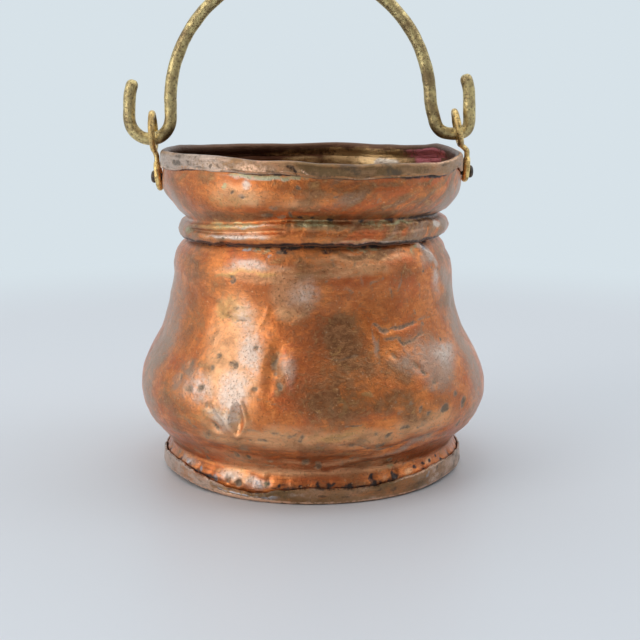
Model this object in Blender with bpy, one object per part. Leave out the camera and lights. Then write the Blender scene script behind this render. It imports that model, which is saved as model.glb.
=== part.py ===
"""A small hand-raised copper pot that hangs from a forged brass bail.

Lengths are in metres and +Z is up. The origin is the centre of the base, on the plane that the pot
stands on. X runs through the two rivets that carry the bail, and the front of the pot faces -Y.
"""

import math
from collections import namedtuple

import bmesh
import bpy
from mathutils import Matrix, Vector

MM = 0.001

# Sheet metal
SHEET = 0.9 * MM
BAND_SHEET = 0.8 * MM
GAP = 0.3 * MM
TURNS = 48

# Base pan: a disc with an edge turned up and crimped in teeth round the skirt of the body
FOOT_RADIUS = 62.4 * MM
FOOT_HEIGHT = 6.4 * MM
FOOT_CORNER = 1.6 * MM
TEETH = 48
TOOTH_DEPTH = 1.0 * MM

# Body, as radii of its outer face, each with its rise above the one before it
FOOT_NECK_DRAW = 2.4 * MM
FOOT_NECK_RISE = 5.0 * MM
BELLY_RADIUS = 71.2 * MM
BELLY_RISE = 23.6 * MM
WAIST_RADIUS = 57.3 * MM
WAIST_RISE = 45.0 * MM
NECK_RADIUS = 52.5 * MM
NECK_RISE = 15.4 * MM
NECK_LAP = 9.5 * MM

# Collar, with the double bead that laps the neck and the bowl that flares to the rim. Each rise is
# above the size before it, and each stand is how far a ridge or groove stands out from the foot.
COLLAR_LIFT = 0.3 * MM
BEAD_STAND = 1.9 * MM
BEAD_RISE = 2.7 * MM
DIP_STAND = 1.2 * MM
DIP_RISE = 1.7 * MM
RIDGE_STAND = 1.55 * MM
RIDGE_RISE = 1.3 * MM
GROOVE_STAND = 0.6 * MM
GROOVE_RISE = 1.8 * MM
FLARE_RADIUS = 60.2 * MM
FLARE_RISE = 14.3 * MM
LIP_DRAW = 0.5 * MM
RIM_RISE = 10.5 * MM

# Each curve of the two outlines: how long it stays upright at its lower and upper end, as shares
# of its rise, and its steps
Curve = namedtuple("Curve", "leave arrive steps")
FOOT_CURVE = Curve(0.3, 0.3, 3)
BELLY_CURVE = Curve(0.2, 0.55, 6)
WAIST_CURVE = Curve(0.33, 0.48, 7)
RIDGE_CLIMB = Curve(0.3, 0.7, 2)
RIDGE_FALL = Curve(0.7, 0.3, 2)
FLARE_CURVE = Curve(0.15, 0.6, 5)

# The handles of the shoulder's curve, as shares of its step inwards and of its rise
SHOULDER_PULL = (0.1, 0.55)
SHOULDER_PUSH = (0.4, 0.2)
SHOULDER_STEPS = 5

# Rim band, folded over the lip, with the inner side shorter than the outer one. The strip's ends
# meet at the front in a slanted slit, which stops short of the fold.
BAND_DEPTH = 6.4 * MM
BAND_SHORTFALL = 1.0 * MM
FOLD_STEPS = 4
SLIT_ANGLE = math.radians(-96)
SLIT_SLANT = math.radians(35)
SLIT_WIDTH = 0.4 * MM
SLIT_RISE = 5.0 * MM

# Rivets, whose heads and peened ends have one profile: shares of the radius and the thickness
SHANK_RADIUS = 1.4 * MM
HEAD_RADIUS = 2.65 * MM
HEAD_THICKNESS = 1.5 * MM
PEEN_RADIUS = 2.2 * MM
PEEN_THICKNESS = 0.9 * MM
HEAD_PROFILE = ((1.0, 0.0), (1.0, 0.4), (0.7, 0.85), (0.0, 1.0))
RIVET_SIDES = 20

# Links, whose lower loop hangs on the rivet and whose upper eye holds the bail
WIRE_RADIUS = 1.3 * MM
WIRE_SIDES = 8
LOOP_STEPS = 20
EYE_STEPS = 24
LINK_CLEARANCE = 0.5 * MM
LOOP_HOLE_WIDTH = 4.6 * MM
EYE_HOLE_WIDTH = 9.0 * MM
LINK_NECK_RADIUS = 1.1 * MM
LINK_NECK_BREADTH = 1.7
LINK_KINK = 2.6 * MM

LEFT_RIVET_DROP = 3.8 * MM
LEFT_LOOP_SLACK = 1.7 * MM
LEFT_LOOP_LENGTH = 9.7 * MM
LEFT_NECK_LENGTH = 5.6 * MM
LEFT_EYE_LENGTH = 14.4 * MM
LEFT_EYE_OFFSET = 1.0 * MM
LEFT_EYE_LEAN = 0.5 * MM

RIGHT_RIVET_DROP = 1.7 * MM
RIGHT_LOOP_SLACK = 0.3 * MM
RIGHT_LOOP_LENGTH = 8.0 * MM
RIGHT_NECK_LENGTH = 6.0 * MM
RIGHT_EYE_LENGTH = 12.9 * MM
RIGHT_EYE_OFFSET = -2.7 * MM
RIGHT_EYE_LEAN = -2.6 * MM

# Bail: one round rod with a hook at each end
ROD_RADIUS = 2.5 * MM
ROD_SIDES = 10
ARCH_RISE = 66.0 * MM
ARCH_STEPS = 18
LEG_HEIGHT = 13.5 * MM
LEFT_HOOK_RADIUS = 8.35 * MM
LEFT_HOOK_SHIFT = 1.25 * MM
RIGHT_OUTER_BEND = 4.0 * MM
RIGHT_INNER_BEND = 5.2 * MM
RIGHT_HOOK_FLAT = 4.7 * MM
RIGHT_LEG_LEAN = 2.0 * MM
RIGHT_LEG_ANGLE = 190
HOOK_CLEARANCE = 0.5 * MM
TIP_LENGTH = 13.0 * MM
TIP_CURL = 1.5 * MM
CURL_START = 0.3
CURL_LENGTH = 3.0 * MM
BEND_STEP = math.radians(20)

# Modelling values: the angles of a rod's rounded end, the share of a corner's radius that gives it
# nearly round, the least cosine that a mitre divides by, and the distance at which points merge
DOME_ANGLES = (math.radians(40), math.radians(75))
ROUND_CORNER = 0.45
MITRE_LIMIT = 0.5
MERGE_DISTANCE = 0.001 * MM
CUTTER_LENGTH = 8 * SHEET

# Sizes that follow from the ones above
skirt_radius = FOOT_RADIUS - SHEET - GAP
foot_neck_radius = skirt_radius - FOOT_NECK_DRAW
foot_neck_height = FOOT_HEIGHT + FOOT_NECK_RISE
belly_height = foot_neck_height + BELLY_RISE
waist_height = belly_height + WAIST_RISE
neck_height = waist_height + NECK_RISE
collar_start = neck_height + COLLAR_LIFT
bead_height = collar_start + BEAD_RISE
dip_height = bead_height + DIP_RISE
ridge_height = dip_height + RIDGE_RISE
groove_height = ridge_height + GROOVE_RISE
flare_height = groove_height + FLARE_RISE
pot_height = flare_height + RIM_RISE
collar_foot_radius = NECK_RADIUS + GAP + SHEET
bead_radius = collar_foot_radius + BEAD_STAND
dip_radius = collar_foot_radius + DIP_STAND
ridge_radius = collar_foot_radius + RIDGE_STAND
groove_radius = collar_foot_radius + GROOVE_STAND
lip_radius = FLARE_RADIUS - LIP_DRAW
band_radius = lip_radius + GAP + BAND_SHEET
band_inner_radius = lip_radius - SHEET - GAP - BAND_SHEET
band_fold = (band_radius - band_inner_radius) / 2


def bend(start, pull, push, end, steps):
    """Points (radius, height) of a cubic curve, without its first one."""
    points = []
    for i in range(1, steps + 1):
        t = i / steps
        s = 1 - t
        points.append(
            tuple(
                s**3 * a + 3 * s**2 * t * b + 3 * s * t**2 * c + t**3 * d
                for a, b, c, d in zip(start, pull, push, end)
            )
        )
    return points


def swell(start, end, curve):
    """Points of a curve that is upright at both ends, without its first one."""
    rise = end[1] - start[1]
    pull = (start[0], start[1] + curve.leave * rise)
    push = (end[0], end[1] - curve.arrive * rise)
    return bend(start, pull, push, end, curve.steps)


def offset_line(line, distance):
    """The line moved to its left by a distance, with each corner mitred."""
    moved = []
    for i, point in enumerate(line):
        before = Vector(point) - Vector(line[i - 1]) if i else None
        after = Vector(line[i + 1]) - Vector(point) if i + 1 < len(line) else None
        first = (before or after).normalized()
        second = (after or before).normalized()
        middle = (first + second).normalized()
        width = distance / max(middle.dot(first), MITRE_LIMIT)
        moved.append((point[0] - middle.y * width, point[1] + middle.x * width))
    return moved


def sheet_section(line, thickness):
    """The closed outline of a sheet whose outer face follows the line, drawn from the bottom up."""
    return line + offset_line(line, thickness)[::-1]


def finished(bm, name, material, origin=(0, 0, 0), flat_angle=40):
    """Turns the geometry, which is in world coordinates, into an object with its own origin."""
    bmesh.ops.remove_doubles(bm, verts=bm.verts, dist=MERGE_DISTANCE)
    bmesh.ops.recalc_face_normals(bm, faces=bm.faces)
    bmesh.ops.translate(bm, verts=bm.verts, vec=-Vector(origin))
    mesh = bpy.data.meshes.new(name)
    bm.to_mesh(mesh)
    bm.free()
    mesh.shade_smooth()
    mesh.set_sharp_from_angle(angle=math.radians(flat_angle))
    mesh.materials.append(material)
    obj = bpy.data.objects.new(name, mesh)
    obj.location = origin
    bpy.context.collection.objects.link(obj)
    return obj


def turned(section, turns=TURNS, centre=(0, 0, 0), axis="Z"):
    """A closed outline of (radius, distance along the axis) points, turned once round the axis."""
    bm = bmesh.new()
    if axis == "Z":
        verts = [bm.verts.new((r, 0, h)) for r, h in section]
    else:
        verts = [bm.verts.new((centre[0] + h, 0, centre[2] + r)) for r, h in section]
    edges = [bm.edges.new((verts[i - 1], verts[i])) for i in range(len(verts))]
    bmesh.ops.spin(
        bm,
        geom=verts + edges,
        cent=centre,
        axis=(0, 0, 1) if axis == "Z" else (1, 0, 0),
        angle=2 * math.pi,
        steps=turns,
        use_merge=True,
    )
    bmesh.ops.remove_doubles(bm, verts=bm.verts, dist=MERGE_DISTANCE)
    return bm


def domed(points, radius):
    """The points of an open rod and its radius at each, drawn in to a dome past both ends."""
    start = (points[0] - points[1]).normalized() * radius
    end = (points[-1] - points[-2]).normalized() * radius
    head = [points[0] + start * math.sin(a) for a in reversed(DOME_ANGLES)]
    tail = [points[-1] + end * math.sin(a) for a in DOME_ANGLES]
    dome = [radius * math.cos(a) for a in DOME_ANGLES]
    return head + points + tail, dome[::-1] + [radius] * len(points) + dome


def rod(points, radius, sides, closed=False):
    """The mesh of a round rod along the points. An open rod ends in domes."""
    points = [Vector(p) for p in points]
    radii = [radius] * len(points)
    if not closed:
        points, radii = domed(points, radius)
    curve = bpy.data.curves.new("rod", "CURVE")
    curve.dimensions = "3D"
    curve.bevel_depth = 1.0
    curve.bevel_resolution = sides // 2 - 2
    curve.use_fill_caps = True
    spline = curve.splines.new("POLY")
    spline.points.add(len(points) - 1)
    spline.use_cyclic_u = closed
    for control, point, size in zip(spline.points, points, radii):
        control.co = (*point, 1)
        control.radius = size
    guide = bpy.data.objects.new("rod", curve)
    mesh = bpy.data.meshes.new_from_object(guide)
    bpy.data.objects.remove(guide)
    bpy.data.curves.remove(curve)
    return mesh


def metal(name, colour, roughness):
    material = bpy.data.materials.new(name)
    material.use_nodes = True
    shader = material.node_tree.nodes["Principled BSDF"]
    shader.inputs["Base Color"].default_value = (*colour, 1)
    shader.inputs["Metallic"].default_value = 1.0
    shader.inputs["Roughness"].default_value = roughness
    material.diffuse_color = (*colour, 1)
    return material


def clear_scene():
    for obj in list(bpy.data.objects):
        bpy.data.objects.remove(obj, do_unlink=True)


def body_line():
    """Outer face of the body, from the skirt inside the pan to the neck inside the collar."""
    line = [(skirt_radius, SHEET + GAP), (skirt_radius, FOOT_HEIGHT)]
    foot_neck = (foot_neck_radius, foot_neck_height)
    belly = (BELLY_RADIUS, belly_height)
    waist = (WAIST_RADIUS, waist_height)
    neck = (NECK_RADIUS, neck_height)
    step_in = WAIST_RADIUS - NECK_RADIUS
    pull = (waist[0] + SHOULDER_PULL[0] * step_in, waist[1] + SHOULDER_PULL[1] * NECK_RISE)
    push = (neck[0] + SHOULDER_PUSH[0] * step_in, neck[1] - SHOULDER_PUSH[1] * NECK_RISE)
    line += swell(line[-1], foot_neck, FOOT_CURVE)
    line += swell(foot_neck, belly, BELLY_CURVE)
    line += swell(belly, waist, WAIST_CURVE)
    line += bend(waist, pull, push, neck, SHOULDER_STEPS)
    line.append((NECK_RADIUS, neck_height + NECK_LAP))
    return line


def collar_line():
    """Outer face of the collar, from the lower edge of the bead to the lip."""
    foot = (collar_foot_radius, collar_start)
    bead = (bead_radius, bead_height)
    dip = (dip_radius, dip_height)
    ridge = (ridge_radius, ridge_height)
    groove = (groove_radius, groove_height)
    flare = (FLARE_RADIUS, flare_height)
    line = [foot]
    line += bend(foot, (bead_radius, collar_start), (bead_radius, bead_height - BEAD_RISE / 2), bead, 3)
    line += swell(bead, dip, RIDGE_FALL)
    line += swell(dip, ridge, RIDGE_CLIMB)
    line += swell(ridge, groove, RIDGE_FALL)
    line += swell(groove, flare, FLARE_CURVE)
    line.append((lip_radius, pot_height - BAND_DEPTH))
    line.append((lip_radius, pot_height - band_fold))
    return line


def wall_radius(height):
    """Radius of the collar's outer face at a height."""
    line = collar_line()
    for low, high in zip(line, line[1:]):
        if low[1] <= height <= high[1]:
            share = (height - low[1]) / (high[1] - low[1])
            return low[0] + share * (high[0] - low[0])
    return line[-1][0]


def band_section():
    """The folded strip, whose outer edge hangs lower than its inner one."""
    centre = (band_radius - band_fold, pot_height - band_fold)
    line = [(band_radius, pot_height - BAND_DEPTH)]
    for i in range(FOLD_STEPS + 1):
        angle = math.pi * i / FOLD_STEPS
        line.append((centre[0] + band_fold * math.cos(angle), centre[1] + band_fold * math.sin(angle)))
    line.append((band_inner_radius, pot_height - BAND_DEPTH + BAND_SHORTFALL))
    return sheet_section(line, BAND_SHEET)


def pan_section():
    """The disc and its upright edge, from the axis outwards."""
    corner = (FOOT_RADIUS - FOOT_CORNER, 0.0)
    line = [(0.0, 0.0), corner]
    line += bend(
        corner,
        (FOOT_RADIUS - ROUND_CORNER * FOOT_CORNER, 0.0),
        (FOOT_RADIUS, ROUND_CORNER * FOOT_CORNER),
        (FOOT_RADIUS, FOOT_CORNER),
        2,
    )
    line.append((FOOT_RADIUS, FOOT_HEIGHT))
    return sheet_section(line, SHEET)


def make_body(material):
    return finished(turned(sheet_section(body_line(), SHEET)), "body_shell", material)


def cut(target, cutter):
    """Takes the cutter out of the target and leaves the cutter as a guide."""
    cutter.hide_render = True
    cutter.display_type = "WIRE"
    difference = target.modifiers.new("cut", "BOOLEAN")
    difference.object = cutter


def make_collar(material, rivet_holes):
    collar = finished(turned(sheet_section(collar_line(), SHEET)), "collar", material)
    for side, height in rivet_holes:
        bm = bmesh.new()
        bmesh.ops.create_cone(
            bm,
            cap_ends=True,
            segments=RIVET_SIDES,
            radius1=SHANK_RADIUS + GAP,
            radius2=SHANK_RADIUS + GAP,
            depth=CUTTER_LENGTH,
            matrix=Matrix.Rotation(math.pi / 2, 4, "Y"),
        )
        place = (side * wall_radius(height), 0, height)
        bmesh.ops.translate(bm, verts=bm.verts, vec=place)
        cut(collar, finished(bm, f"hole_cutter_{'left' if side < 0 else 'right'}", material, place))
    return collar


def make_band(material):
    """The folded strip, with the slit where its ends meet."""
    band = finished(turned(band_section()), "rim_band", material)
    bm = bmesh.new()
    bmesh.ops.create_cube(bm, size=1)
    bmesh.ops.scale(bm, verts=bm.verts, vec=(CUTTER_LENGTH / 2, SLIT_WIDTH, SLIT_RISE))
    outside = CUTTER_LENGTH / 4 - GAP / 2 - BAND_SHEET
    place = Matrix.Rotation(SLIT_ANGLE, 4, "Z") @ Matrix.Translation(
        (band_radius + outside, 0, pot_height - BAND_DEPTH + SLIT_RISE / 4)
    )
    bmesh.ops.transform(bm, verts=bm.verts, matrix=place @ Matrix.Rotation(SLIT_SLANT, 4, "X"))
    cut(band, finished(bm, "slit_cutter", material, place.translation))
    return band


def make_pan(material):
    turns = 3 * TEETH
    bm = turned(pan_section(), turns)
    for vert in bm.verts:
        third = round(math.atan2(vert.co.y, vert.co.x) / (2 * math.pi) * turns) % 3
        if third == 0 and vert.co.z > FOOT_HEIGHT - MERGE_DISTANCE:
            vert.co.z -= TOOTH_DEPTH
    return finished(bm, "base_pan", material)


def make_rivet(name, side, link, material):
    """A head outside the loop, a shank through the wall and a peened end inside it."""
    inner = min(wall_radius(link["rivet"] + edge) for edge in (-PEEN_RADIUS, PEEN_RADIUS))
    inner = math.sqrt((inner - SHEET) ** 2 - PEEN_RADIUS**2) - GAP
    outer = link["loop_at_rivet"] + WIRE_RADIUS + GAP
    peen = [(r * PEEN_RADIUS, inner - h * PEEN_THICKNESS) for r, h in HEAD_PROFILE]
    head = [(r * HEAD_RADIUS, outer + h * HEAD_THICKNESS) for r, h in HEAD_PROFILE]
    section = peen[::-1] + [(SHANK_RADIUS, inner), (SHANK_RADIUS, outer)] + head
    centre = (0, 0, link["rivet"])
    bm = turned([(r, side * h) for r, h in section], RIVET_SIDES, centre, "X")
    return finished(bm, name, material, (side * outer, 0, link["rivet"]), 30)


def link_places(rivet_drop, loop_slack, loop_length, neck_length, eye_length, eye_offset, eye_lean):
    """Heights of a link's wire, and its distances from the pot's axis."""
    rivet = pot_height - BAND_DEPTH - rivet_drop
    loop_drop = SHANK_RADIUS + WIRE_RADIUS + loop_slack
    loop_bottom = rivet - loop_drop
    loop_top = loop_bottom + loop_length
    eye_bottom = loop_top + neck_length
    reach = LINK_CLEARANCE + WIRE_RADIUS
    bottom_out = wall_radius(loop_bottom) + reach
    top_out = band_radius + reach
    eye_out = top_out + eye_offset
    pivot = eye_bottom + WIRE_RADIUS + GAP + ROD_RADIUS
    return {
        "rivet": rivet,
        "loop": ((bottom_out, loop_bottom), (top_out, loop_top)),
        "loop_at_rivet": bottom_out + (top_out - bottom_out) * loop_drop / loop_length,
        "eye": ((eye_out, eye_bottom), (eye_out + eye_lean, eye_bottom + eye_length)),
        "pivot": pivot,
        "pivot_out": eye_out + eye_lean * (pivot - eye_bottom) / eye_length,
    }


def ring_path(side, bottom, top, width, steps):
    """An oval in the plane that leans from its bottom point to its top point."""
    points = []
    for i in range(steps):
        angle = 2 * math.pi * i / steps
        share = (1 - math.cos(angle)) / 2
        out = bottom[0] + (top[0] - bottom[0]) * share
        height = bottom[1] + (top[1] - bottom[1]) * share
        points.append((side * out, width / 2 * math.sin(angle), height))
    return points


def make_link(name, side, link, material):
    """Two rings of wire joined by a flattened neck, in one solid."""
    loop_width = LOOP_HOLE_WIDTH + 2 * WIRE_RADIUS
    eye_width = EYE_HOLE_WIDTH + 2 * WIRE_RADIUS
    loop_path = ring_path(side, *link["loop"], loop_width, LOOP_STEPS)
    eye_path = ring_path(side, *link["eye"], eye_width, EYE_STEPS)
    loop = rod(loop_path, WIRE_RADIUS, WIRE_SIDES, True)
    eye = rod(eye_path, WIRE_RADIUS, WIRE_SIDES, True)
    loop_top = link["loop"][1]
    eye_bottom = link["eye"][0]
    neck_path = [
        (side * loop_top[0], 0, loop_top[1]),
        (side * loop_top[0], 0, eye_bottom[1] - LINK_KINK),
        (side * eye_bottom[0], 0, eye_bottom[1]),
    ]
    neck = rod(neck_path, LINK_NECK_RADIUS, WIRE_SIDES)
    neck.transform(Matrix.Diagonal((1, LINK_NECK_BREADTH, 1, 1)))
    origin = (side * link["loop_at_rivet"], 0, link["rivet"])
    pieces = []
    for suffix, mesh in (("", loop), ("_eye", eye), ("_neck", neck)):
        bm = bmesh.new()
        bm.from_mesh(mesh)
        bpy.data.meshes.remove(mesh)
        pieces.append(finished(bm, name + suffix, material, origin))
    for piece in pieces[1:]:
        piece.hide_render = True
        piece.display_type = "WIRE"
        join = pieces[0].modifiers.new("join", "BOOLEAN")
        join.operation = "UNION"
        join.object = piece
    return pieces[0]


def arc(centre, radius, start, end):
    """Points on an arc in the bail's plane, from one angle to the other in degrees."""
    steps = max(2, round(abs(math.radians(end - start)) / BEND_STEP))
    angles = [math.radians(start + (end - start) * i / steps) for i in range(steps + 1)]
    return [(centre[0] + radius * math.cos(a), centre[1] + radius * math.sin(a)) for a in angles]


def curled_tip(x, top, inward):
    """The last points of an outer leg at x, whose tip curls towards the pot."""
    return [(x + inward * CURL_START * TIP_CURL, top - CURL_LENGTH), (x + inward * TIP_CURL, top)]


def bail_path(left, right):
    """The centre line of the bail, as (x, z) points from the left tip to the right one."""
    centre = (-(left["pivot_out"] + LEFT_HOOK_SHIFT), left["pivot"] + LEFT_HOOK_RADIUS)
    path = curled_tip(centre[0] - LEFT_HOOK_RADIUS, centre[1] + TIP_LENGTH, 1)[::-1]
    path += arc(centre, LEFT_HOOK_RADIUS, 180, 360)

    outer_leg = right["pivot_out"] + WIRE_RADIUS + HOOK_CLEARANCE + ROD_RADIUS
    outer_centre = (outer_leg - RIGHT_OUTER_BEND, right["pivot"] + RIGHT_OUTER_BEND)
    inner_centre = (outer_centre[0] - RIGHT_HOOK_FLAT, right["pivot"] + RIGHT_INNER_BEND)
    left_leg = centre[0] + LEFT_HOOK_RADIUS
    right_leg = inner_centre[0] - RIGHT_INNER_BEND - RIGHT_LEG_LEAN
    arch_centre = (left_leg + right_leg) / 2
    half_span = (right_leg - left_leg) / 2
    spring = (left["pivot"] + right["pivot"]) / 2 + LEG_HEIGHT
    rise = (left["pivot"] + right["pivot"]) / 2 + ARCH_RISE - spring
    for i in range(ARCH_STEPS + 1):
        angle = math.pi * (1 - i / ARCH_STEPS)
        path.append((arch_centre + half_span * math.cos(angle), spring + rise * math.sin(angle)))

    path += arc(inner_centre, RIGHT_INNER_BEND, RIGHT_LEG_ANGLE, 270)
    path += arc(outer_centre, RIGHT_OUTER_BEND, 270, 360)
    path += curled_tip(outer_leg, right["pivot"] + LEFT_HOOK_RADIUS + TIP_LENGTH, -1)
    return path


def make_bail(left, right, material):
    points = [(x, 0, z) for x, z in bail_path(left, right)]
    mesh = rod(points, ROD_RADIUS, ROD_SIDES)
    bm = bmesh.new()
    bm.from_mesh(mesh)
    bpy.data.meshes.remove(mesh)
    return finished(bm, "bail", material, (-left["pivot_out"], 0, left["pivot"]))


def hang(child, parent):
    """Parents the child and leaves it where it is."""
    child.parent = parent
    child.matrix_parent_inverse = Matrix.Translation(-parent.location)


def build():
    clear_scene()
    copper = metal("copper", (0.72, 0.35, 0.19), 0.38)
    dull_copper = metal("dull_copper", (0.36, 0.23, 0.16), 0.55)
    brass = metal("brass", (0.42, 0.31, 0.13), 0.42)
    dark_iron = metal("dark_rivet", (0.13, 0.12, 0.11), 0.6)

    left = link_places(
        LEFT_RIVET_DROP,
        LEFT_LOOP_SLACK,
        LEFT_LOOP_LENGTH,
        LEFT_NECK_LENGTH,
        LEFT_EYE_LENGTH,
        LEFT_EYE_OFFSET,
        LEFT_EYE_LEAN,
    )
    right = link_places(
        RIGHT_RIVET_DROP,
        RIGHT_LOOP_SLACK,
        RIGHT_LOOP_LENGTH,
        RIGHT_NECK_LENGTH,
        RIGHT_EYE_LENGTH,
        RIGHT_EYE_OFFSET,
        RIGHT_EYE_LEAN,
    )

    body = make_body(copper)
    fixed = [
        make_collar(copper, [(-1, left["rivet"]), (1, right["rivet"])]),
        make_band(dull_copper),
        make_pan(dull_copper),
        make_rivet("left_rivet", -1, left, dark_iron),
        make_rivet("right_rivet", 1, right, dark_iron),
    ]
    left_lug = make_link("left_lug", -1, left, brass)
    right_lug = make_link("right_lug", 1, right, brass)
    bail = make_bail(left, right, brass)
    for piece in fixed + [left_lug, right_lug]:
        hang(piece, body)
    hang(bail, left_lug)


build()
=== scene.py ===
"""Looks of a small hand-raised copper pot with a forged brass bail.

Lengths are in millimetres until a mesh is made, and heights are above the table. An azimuth is in
degrees from the front of the pot, and grows towards its right side.
"""

import math
from collections import namedtuple

import bmesh
import bpy
import numpy as np
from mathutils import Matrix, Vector


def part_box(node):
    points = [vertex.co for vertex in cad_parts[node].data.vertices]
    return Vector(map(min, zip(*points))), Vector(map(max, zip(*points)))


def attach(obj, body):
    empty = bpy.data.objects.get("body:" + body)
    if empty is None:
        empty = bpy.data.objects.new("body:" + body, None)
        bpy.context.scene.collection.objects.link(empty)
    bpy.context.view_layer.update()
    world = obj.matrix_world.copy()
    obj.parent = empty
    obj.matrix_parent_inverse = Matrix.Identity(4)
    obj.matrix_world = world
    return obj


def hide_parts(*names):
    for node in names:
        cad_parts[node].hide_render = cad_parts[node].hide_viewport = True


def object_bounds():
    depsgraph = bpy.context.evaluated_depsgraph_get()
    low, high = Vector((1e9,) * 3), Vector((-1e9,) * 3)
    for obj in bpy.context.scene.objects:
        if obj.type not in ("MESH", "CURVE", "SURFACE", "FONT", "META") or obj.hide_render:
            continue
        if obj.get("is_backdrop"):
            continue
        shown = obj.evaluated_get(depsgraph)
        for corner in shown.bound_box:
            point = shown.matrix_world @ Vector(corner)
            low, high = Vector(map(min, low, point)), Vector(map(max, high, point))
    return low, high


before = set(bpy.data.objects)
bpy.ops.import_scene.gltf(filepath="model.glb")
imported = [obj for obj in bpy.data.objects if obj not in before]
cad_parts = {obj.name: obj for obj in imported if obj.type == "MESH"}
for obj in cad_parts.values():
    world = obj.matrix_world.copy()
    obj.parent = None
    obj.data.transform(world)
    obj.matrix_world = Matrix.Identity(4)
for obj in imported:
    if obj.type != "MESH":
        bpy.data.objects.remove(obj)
cad_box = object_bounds()

MM = 0.001

# Sizes of the sheets, as in the solids
SHEET = 0.9
BAND_SHEET = 0.8
GAP = 0.3
FOOT_RADIUS = 62.4
FOOT_HEIGHT = 6.4
FOOT_CORNER = 1.6
SKIRT_RADIUS = FOOT_RADIUS - SHEET - GAP
FOOT_NECK = (58.8, 11.4)
BELLY = (71.2, 35.0)
WAIST = (57.3, 80.0)
NECK = (52.5, 95.4)
NECK_TOP = 104.9
COLLAR_FOOT = (53.7, 95.7)
BEAD_TURN = 97.05
BEAD = (55.6, 98.4)
DIP = (54.9, 100.1)
RIDGE = (55.25, 101.4)
GROOVE = (54.3, 103.2)
FLARE = (60.2, 117.5)
LIP_RADIUS = 59.7
POT_HEIGHT = 128.0
BAND_DEPTH = 6.4
BAND_SHORTFALL = 1.0
BAND_RADIUS = LIP_RADIUS + GAP + BAND_SHEET
BAND_FOLD = (GAP * 2 + SHEET + BAND_SHEET * 2) / 2
BAND_BOTTOM = POT_HEIGHT - BAND_DEPTH
BAND_INNER_END = BAND_BOTTOM + BAND_SHORTFALL
FOLD_HEIGHT = POT_HEIGHT - BAND_FOLD
TEETH = 48

# Azimuths of the columns of each mesh, closer together on the front, and the steps of its rows
COLUMNS = np.r_[np.linspace(-96, 96, 320, False), np.linspace(96, 264, 120, False)]
ROW = 0.75
INNER_ROW = 4.0
CURVE_STEPS = 60

# A link: its side, the height of its rivet, and the bottom and top of its loop and of its eye, each
# as a distance from the axis and a height
Link = namedtuple("Link", "side rivet loop_bottom loop_top eye_bottom eye_top")
LEFT_LINK = Link(-1, 117.8, (61.45, 113.4), (62.6, 123.1), (63.6, 128.7), (64.1, 143.1))
RIGHT_LINK = Link(1, 119.9, (61.92, 116.9), (62.6, 124.9), (59.9, 130.9), (57.3, 143.8))
WIRE_RADIUS = 1.3
LOOP_WIDTH = 7.2
EYE_WIDTH = 11.6
LINK_NECK_RADIUS = 1.1
LINK_NECK_BREADTH = 1.7
LINK_KINK = 2.6

# Bail
ROD_RADIUS = 2.5
LEFT_PIVOT = (-63.742, 132.8)
RIGHT_PIVOT = (59.07, 135.0)
LEFT_HOOK_RADIUS = 8.35
LEFT_HOOK_SHIFT = 1.25
RIGHT_OUTER_BEND = 4.0
RIGHT_INNER_BEND = 5.2
RIGHT_HOOK_FLAT = 4.7
RIGHT_LEG_LEAN = 2.0
RIGHT_LEG_ANGLE = 190
HOOK_CLEARANCE = 0.5
OUTER_LEG_REACH = WIRE_RADIUS + HOOK_CLEARANCE + ROD_RADIUS
ARCH_RISE = 66.0
LEG_HEIGHT = 13.5
TIP_LENGTH = 13.0
TIP_CURL = 1.5

# Rivets: radius and height of the head and of the peened end, and the radius of the shank
RIVET_HEAD = (2.65, 1.5)
RIVET_PEEN = (2.2, 0.9)
RIVET_SHANK = 1.4

# Steps round a ring of wire, and sides of the wire, of the links' necks, of the bail and of a rivet
RING_STEPS = 90
WIRE_SIDES = 20
LINK_NECK_SIDES = 16
ROD_SIDES = 28
RIVET_SIDES = 36


# Outlines


def bend(start, pull, push, end):
    """Points (radius, height) of a cubic curve."""
    t = np.linspace(0, 1, CURVE_STEPS)[:, None]
    s = 1 - t
    start, pull, push, end = (np.array(p, float) for p in (start, pull, push, end))
    return s**3 * start + 3 * s**2 * t * pull + 3 * s * t**2 * push + t**3 * end


def swell(start, end, leave, arrive):
    """Points of a curve that is upright at both ends."""
    rise = end[1] - start[1]
    return bend(start, (start[0], start[1] + leave * rise), (end[0], end[1] - arrive * rise), end)


def evenly(pieces, step):
    """The pieces of an outline as one line with points about a step apart."""
    line = np.vstack([np.atleast_2d(np.array(p, float)) for p in pieces])
    length = np.r_[0, np.cumsum(np.linalg.norm(np.diff(line, axis=0), axis=1))]
    keep = np.r_[True, np.diff(length) > 1e-9]
    places = np.linspace(0, length[-1], max(2, round(length[-1] / step) + 1))
    return np.column_stack([np.interp(places, length[keep], line[keep, k]) for k in (0, 1)])


def body_line(step):
    pull = (WAIST[0] + 0.1 * (WAIST[0] - NECK[0]), WAIST[1] + 0.55 * (NECK[1] - WAIST[1]))
    push = (NECK[0] + 0.4 * (WAIST[0] - NECK[0]), NECK[1] - 0.2 * (NECK[1] - WAIST[1]))
    return evenly(
        [
            (SKIRT_RADIUS, SHEET + GAP),
            swell((SKIRT_RADIUS, FOOT_HEIGHT), FOOT_NECK, 0.3, 0.3),
            swell(FOOT_NECK, BELLY, 0.2, 0.55),
            swell(BELLY, WAIST, 0.33, 0.48),
            bend(WAIST, pull, push, NECK),
            (NECK[0], NECK_TOP),
        ],
        step,
    )


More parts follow.
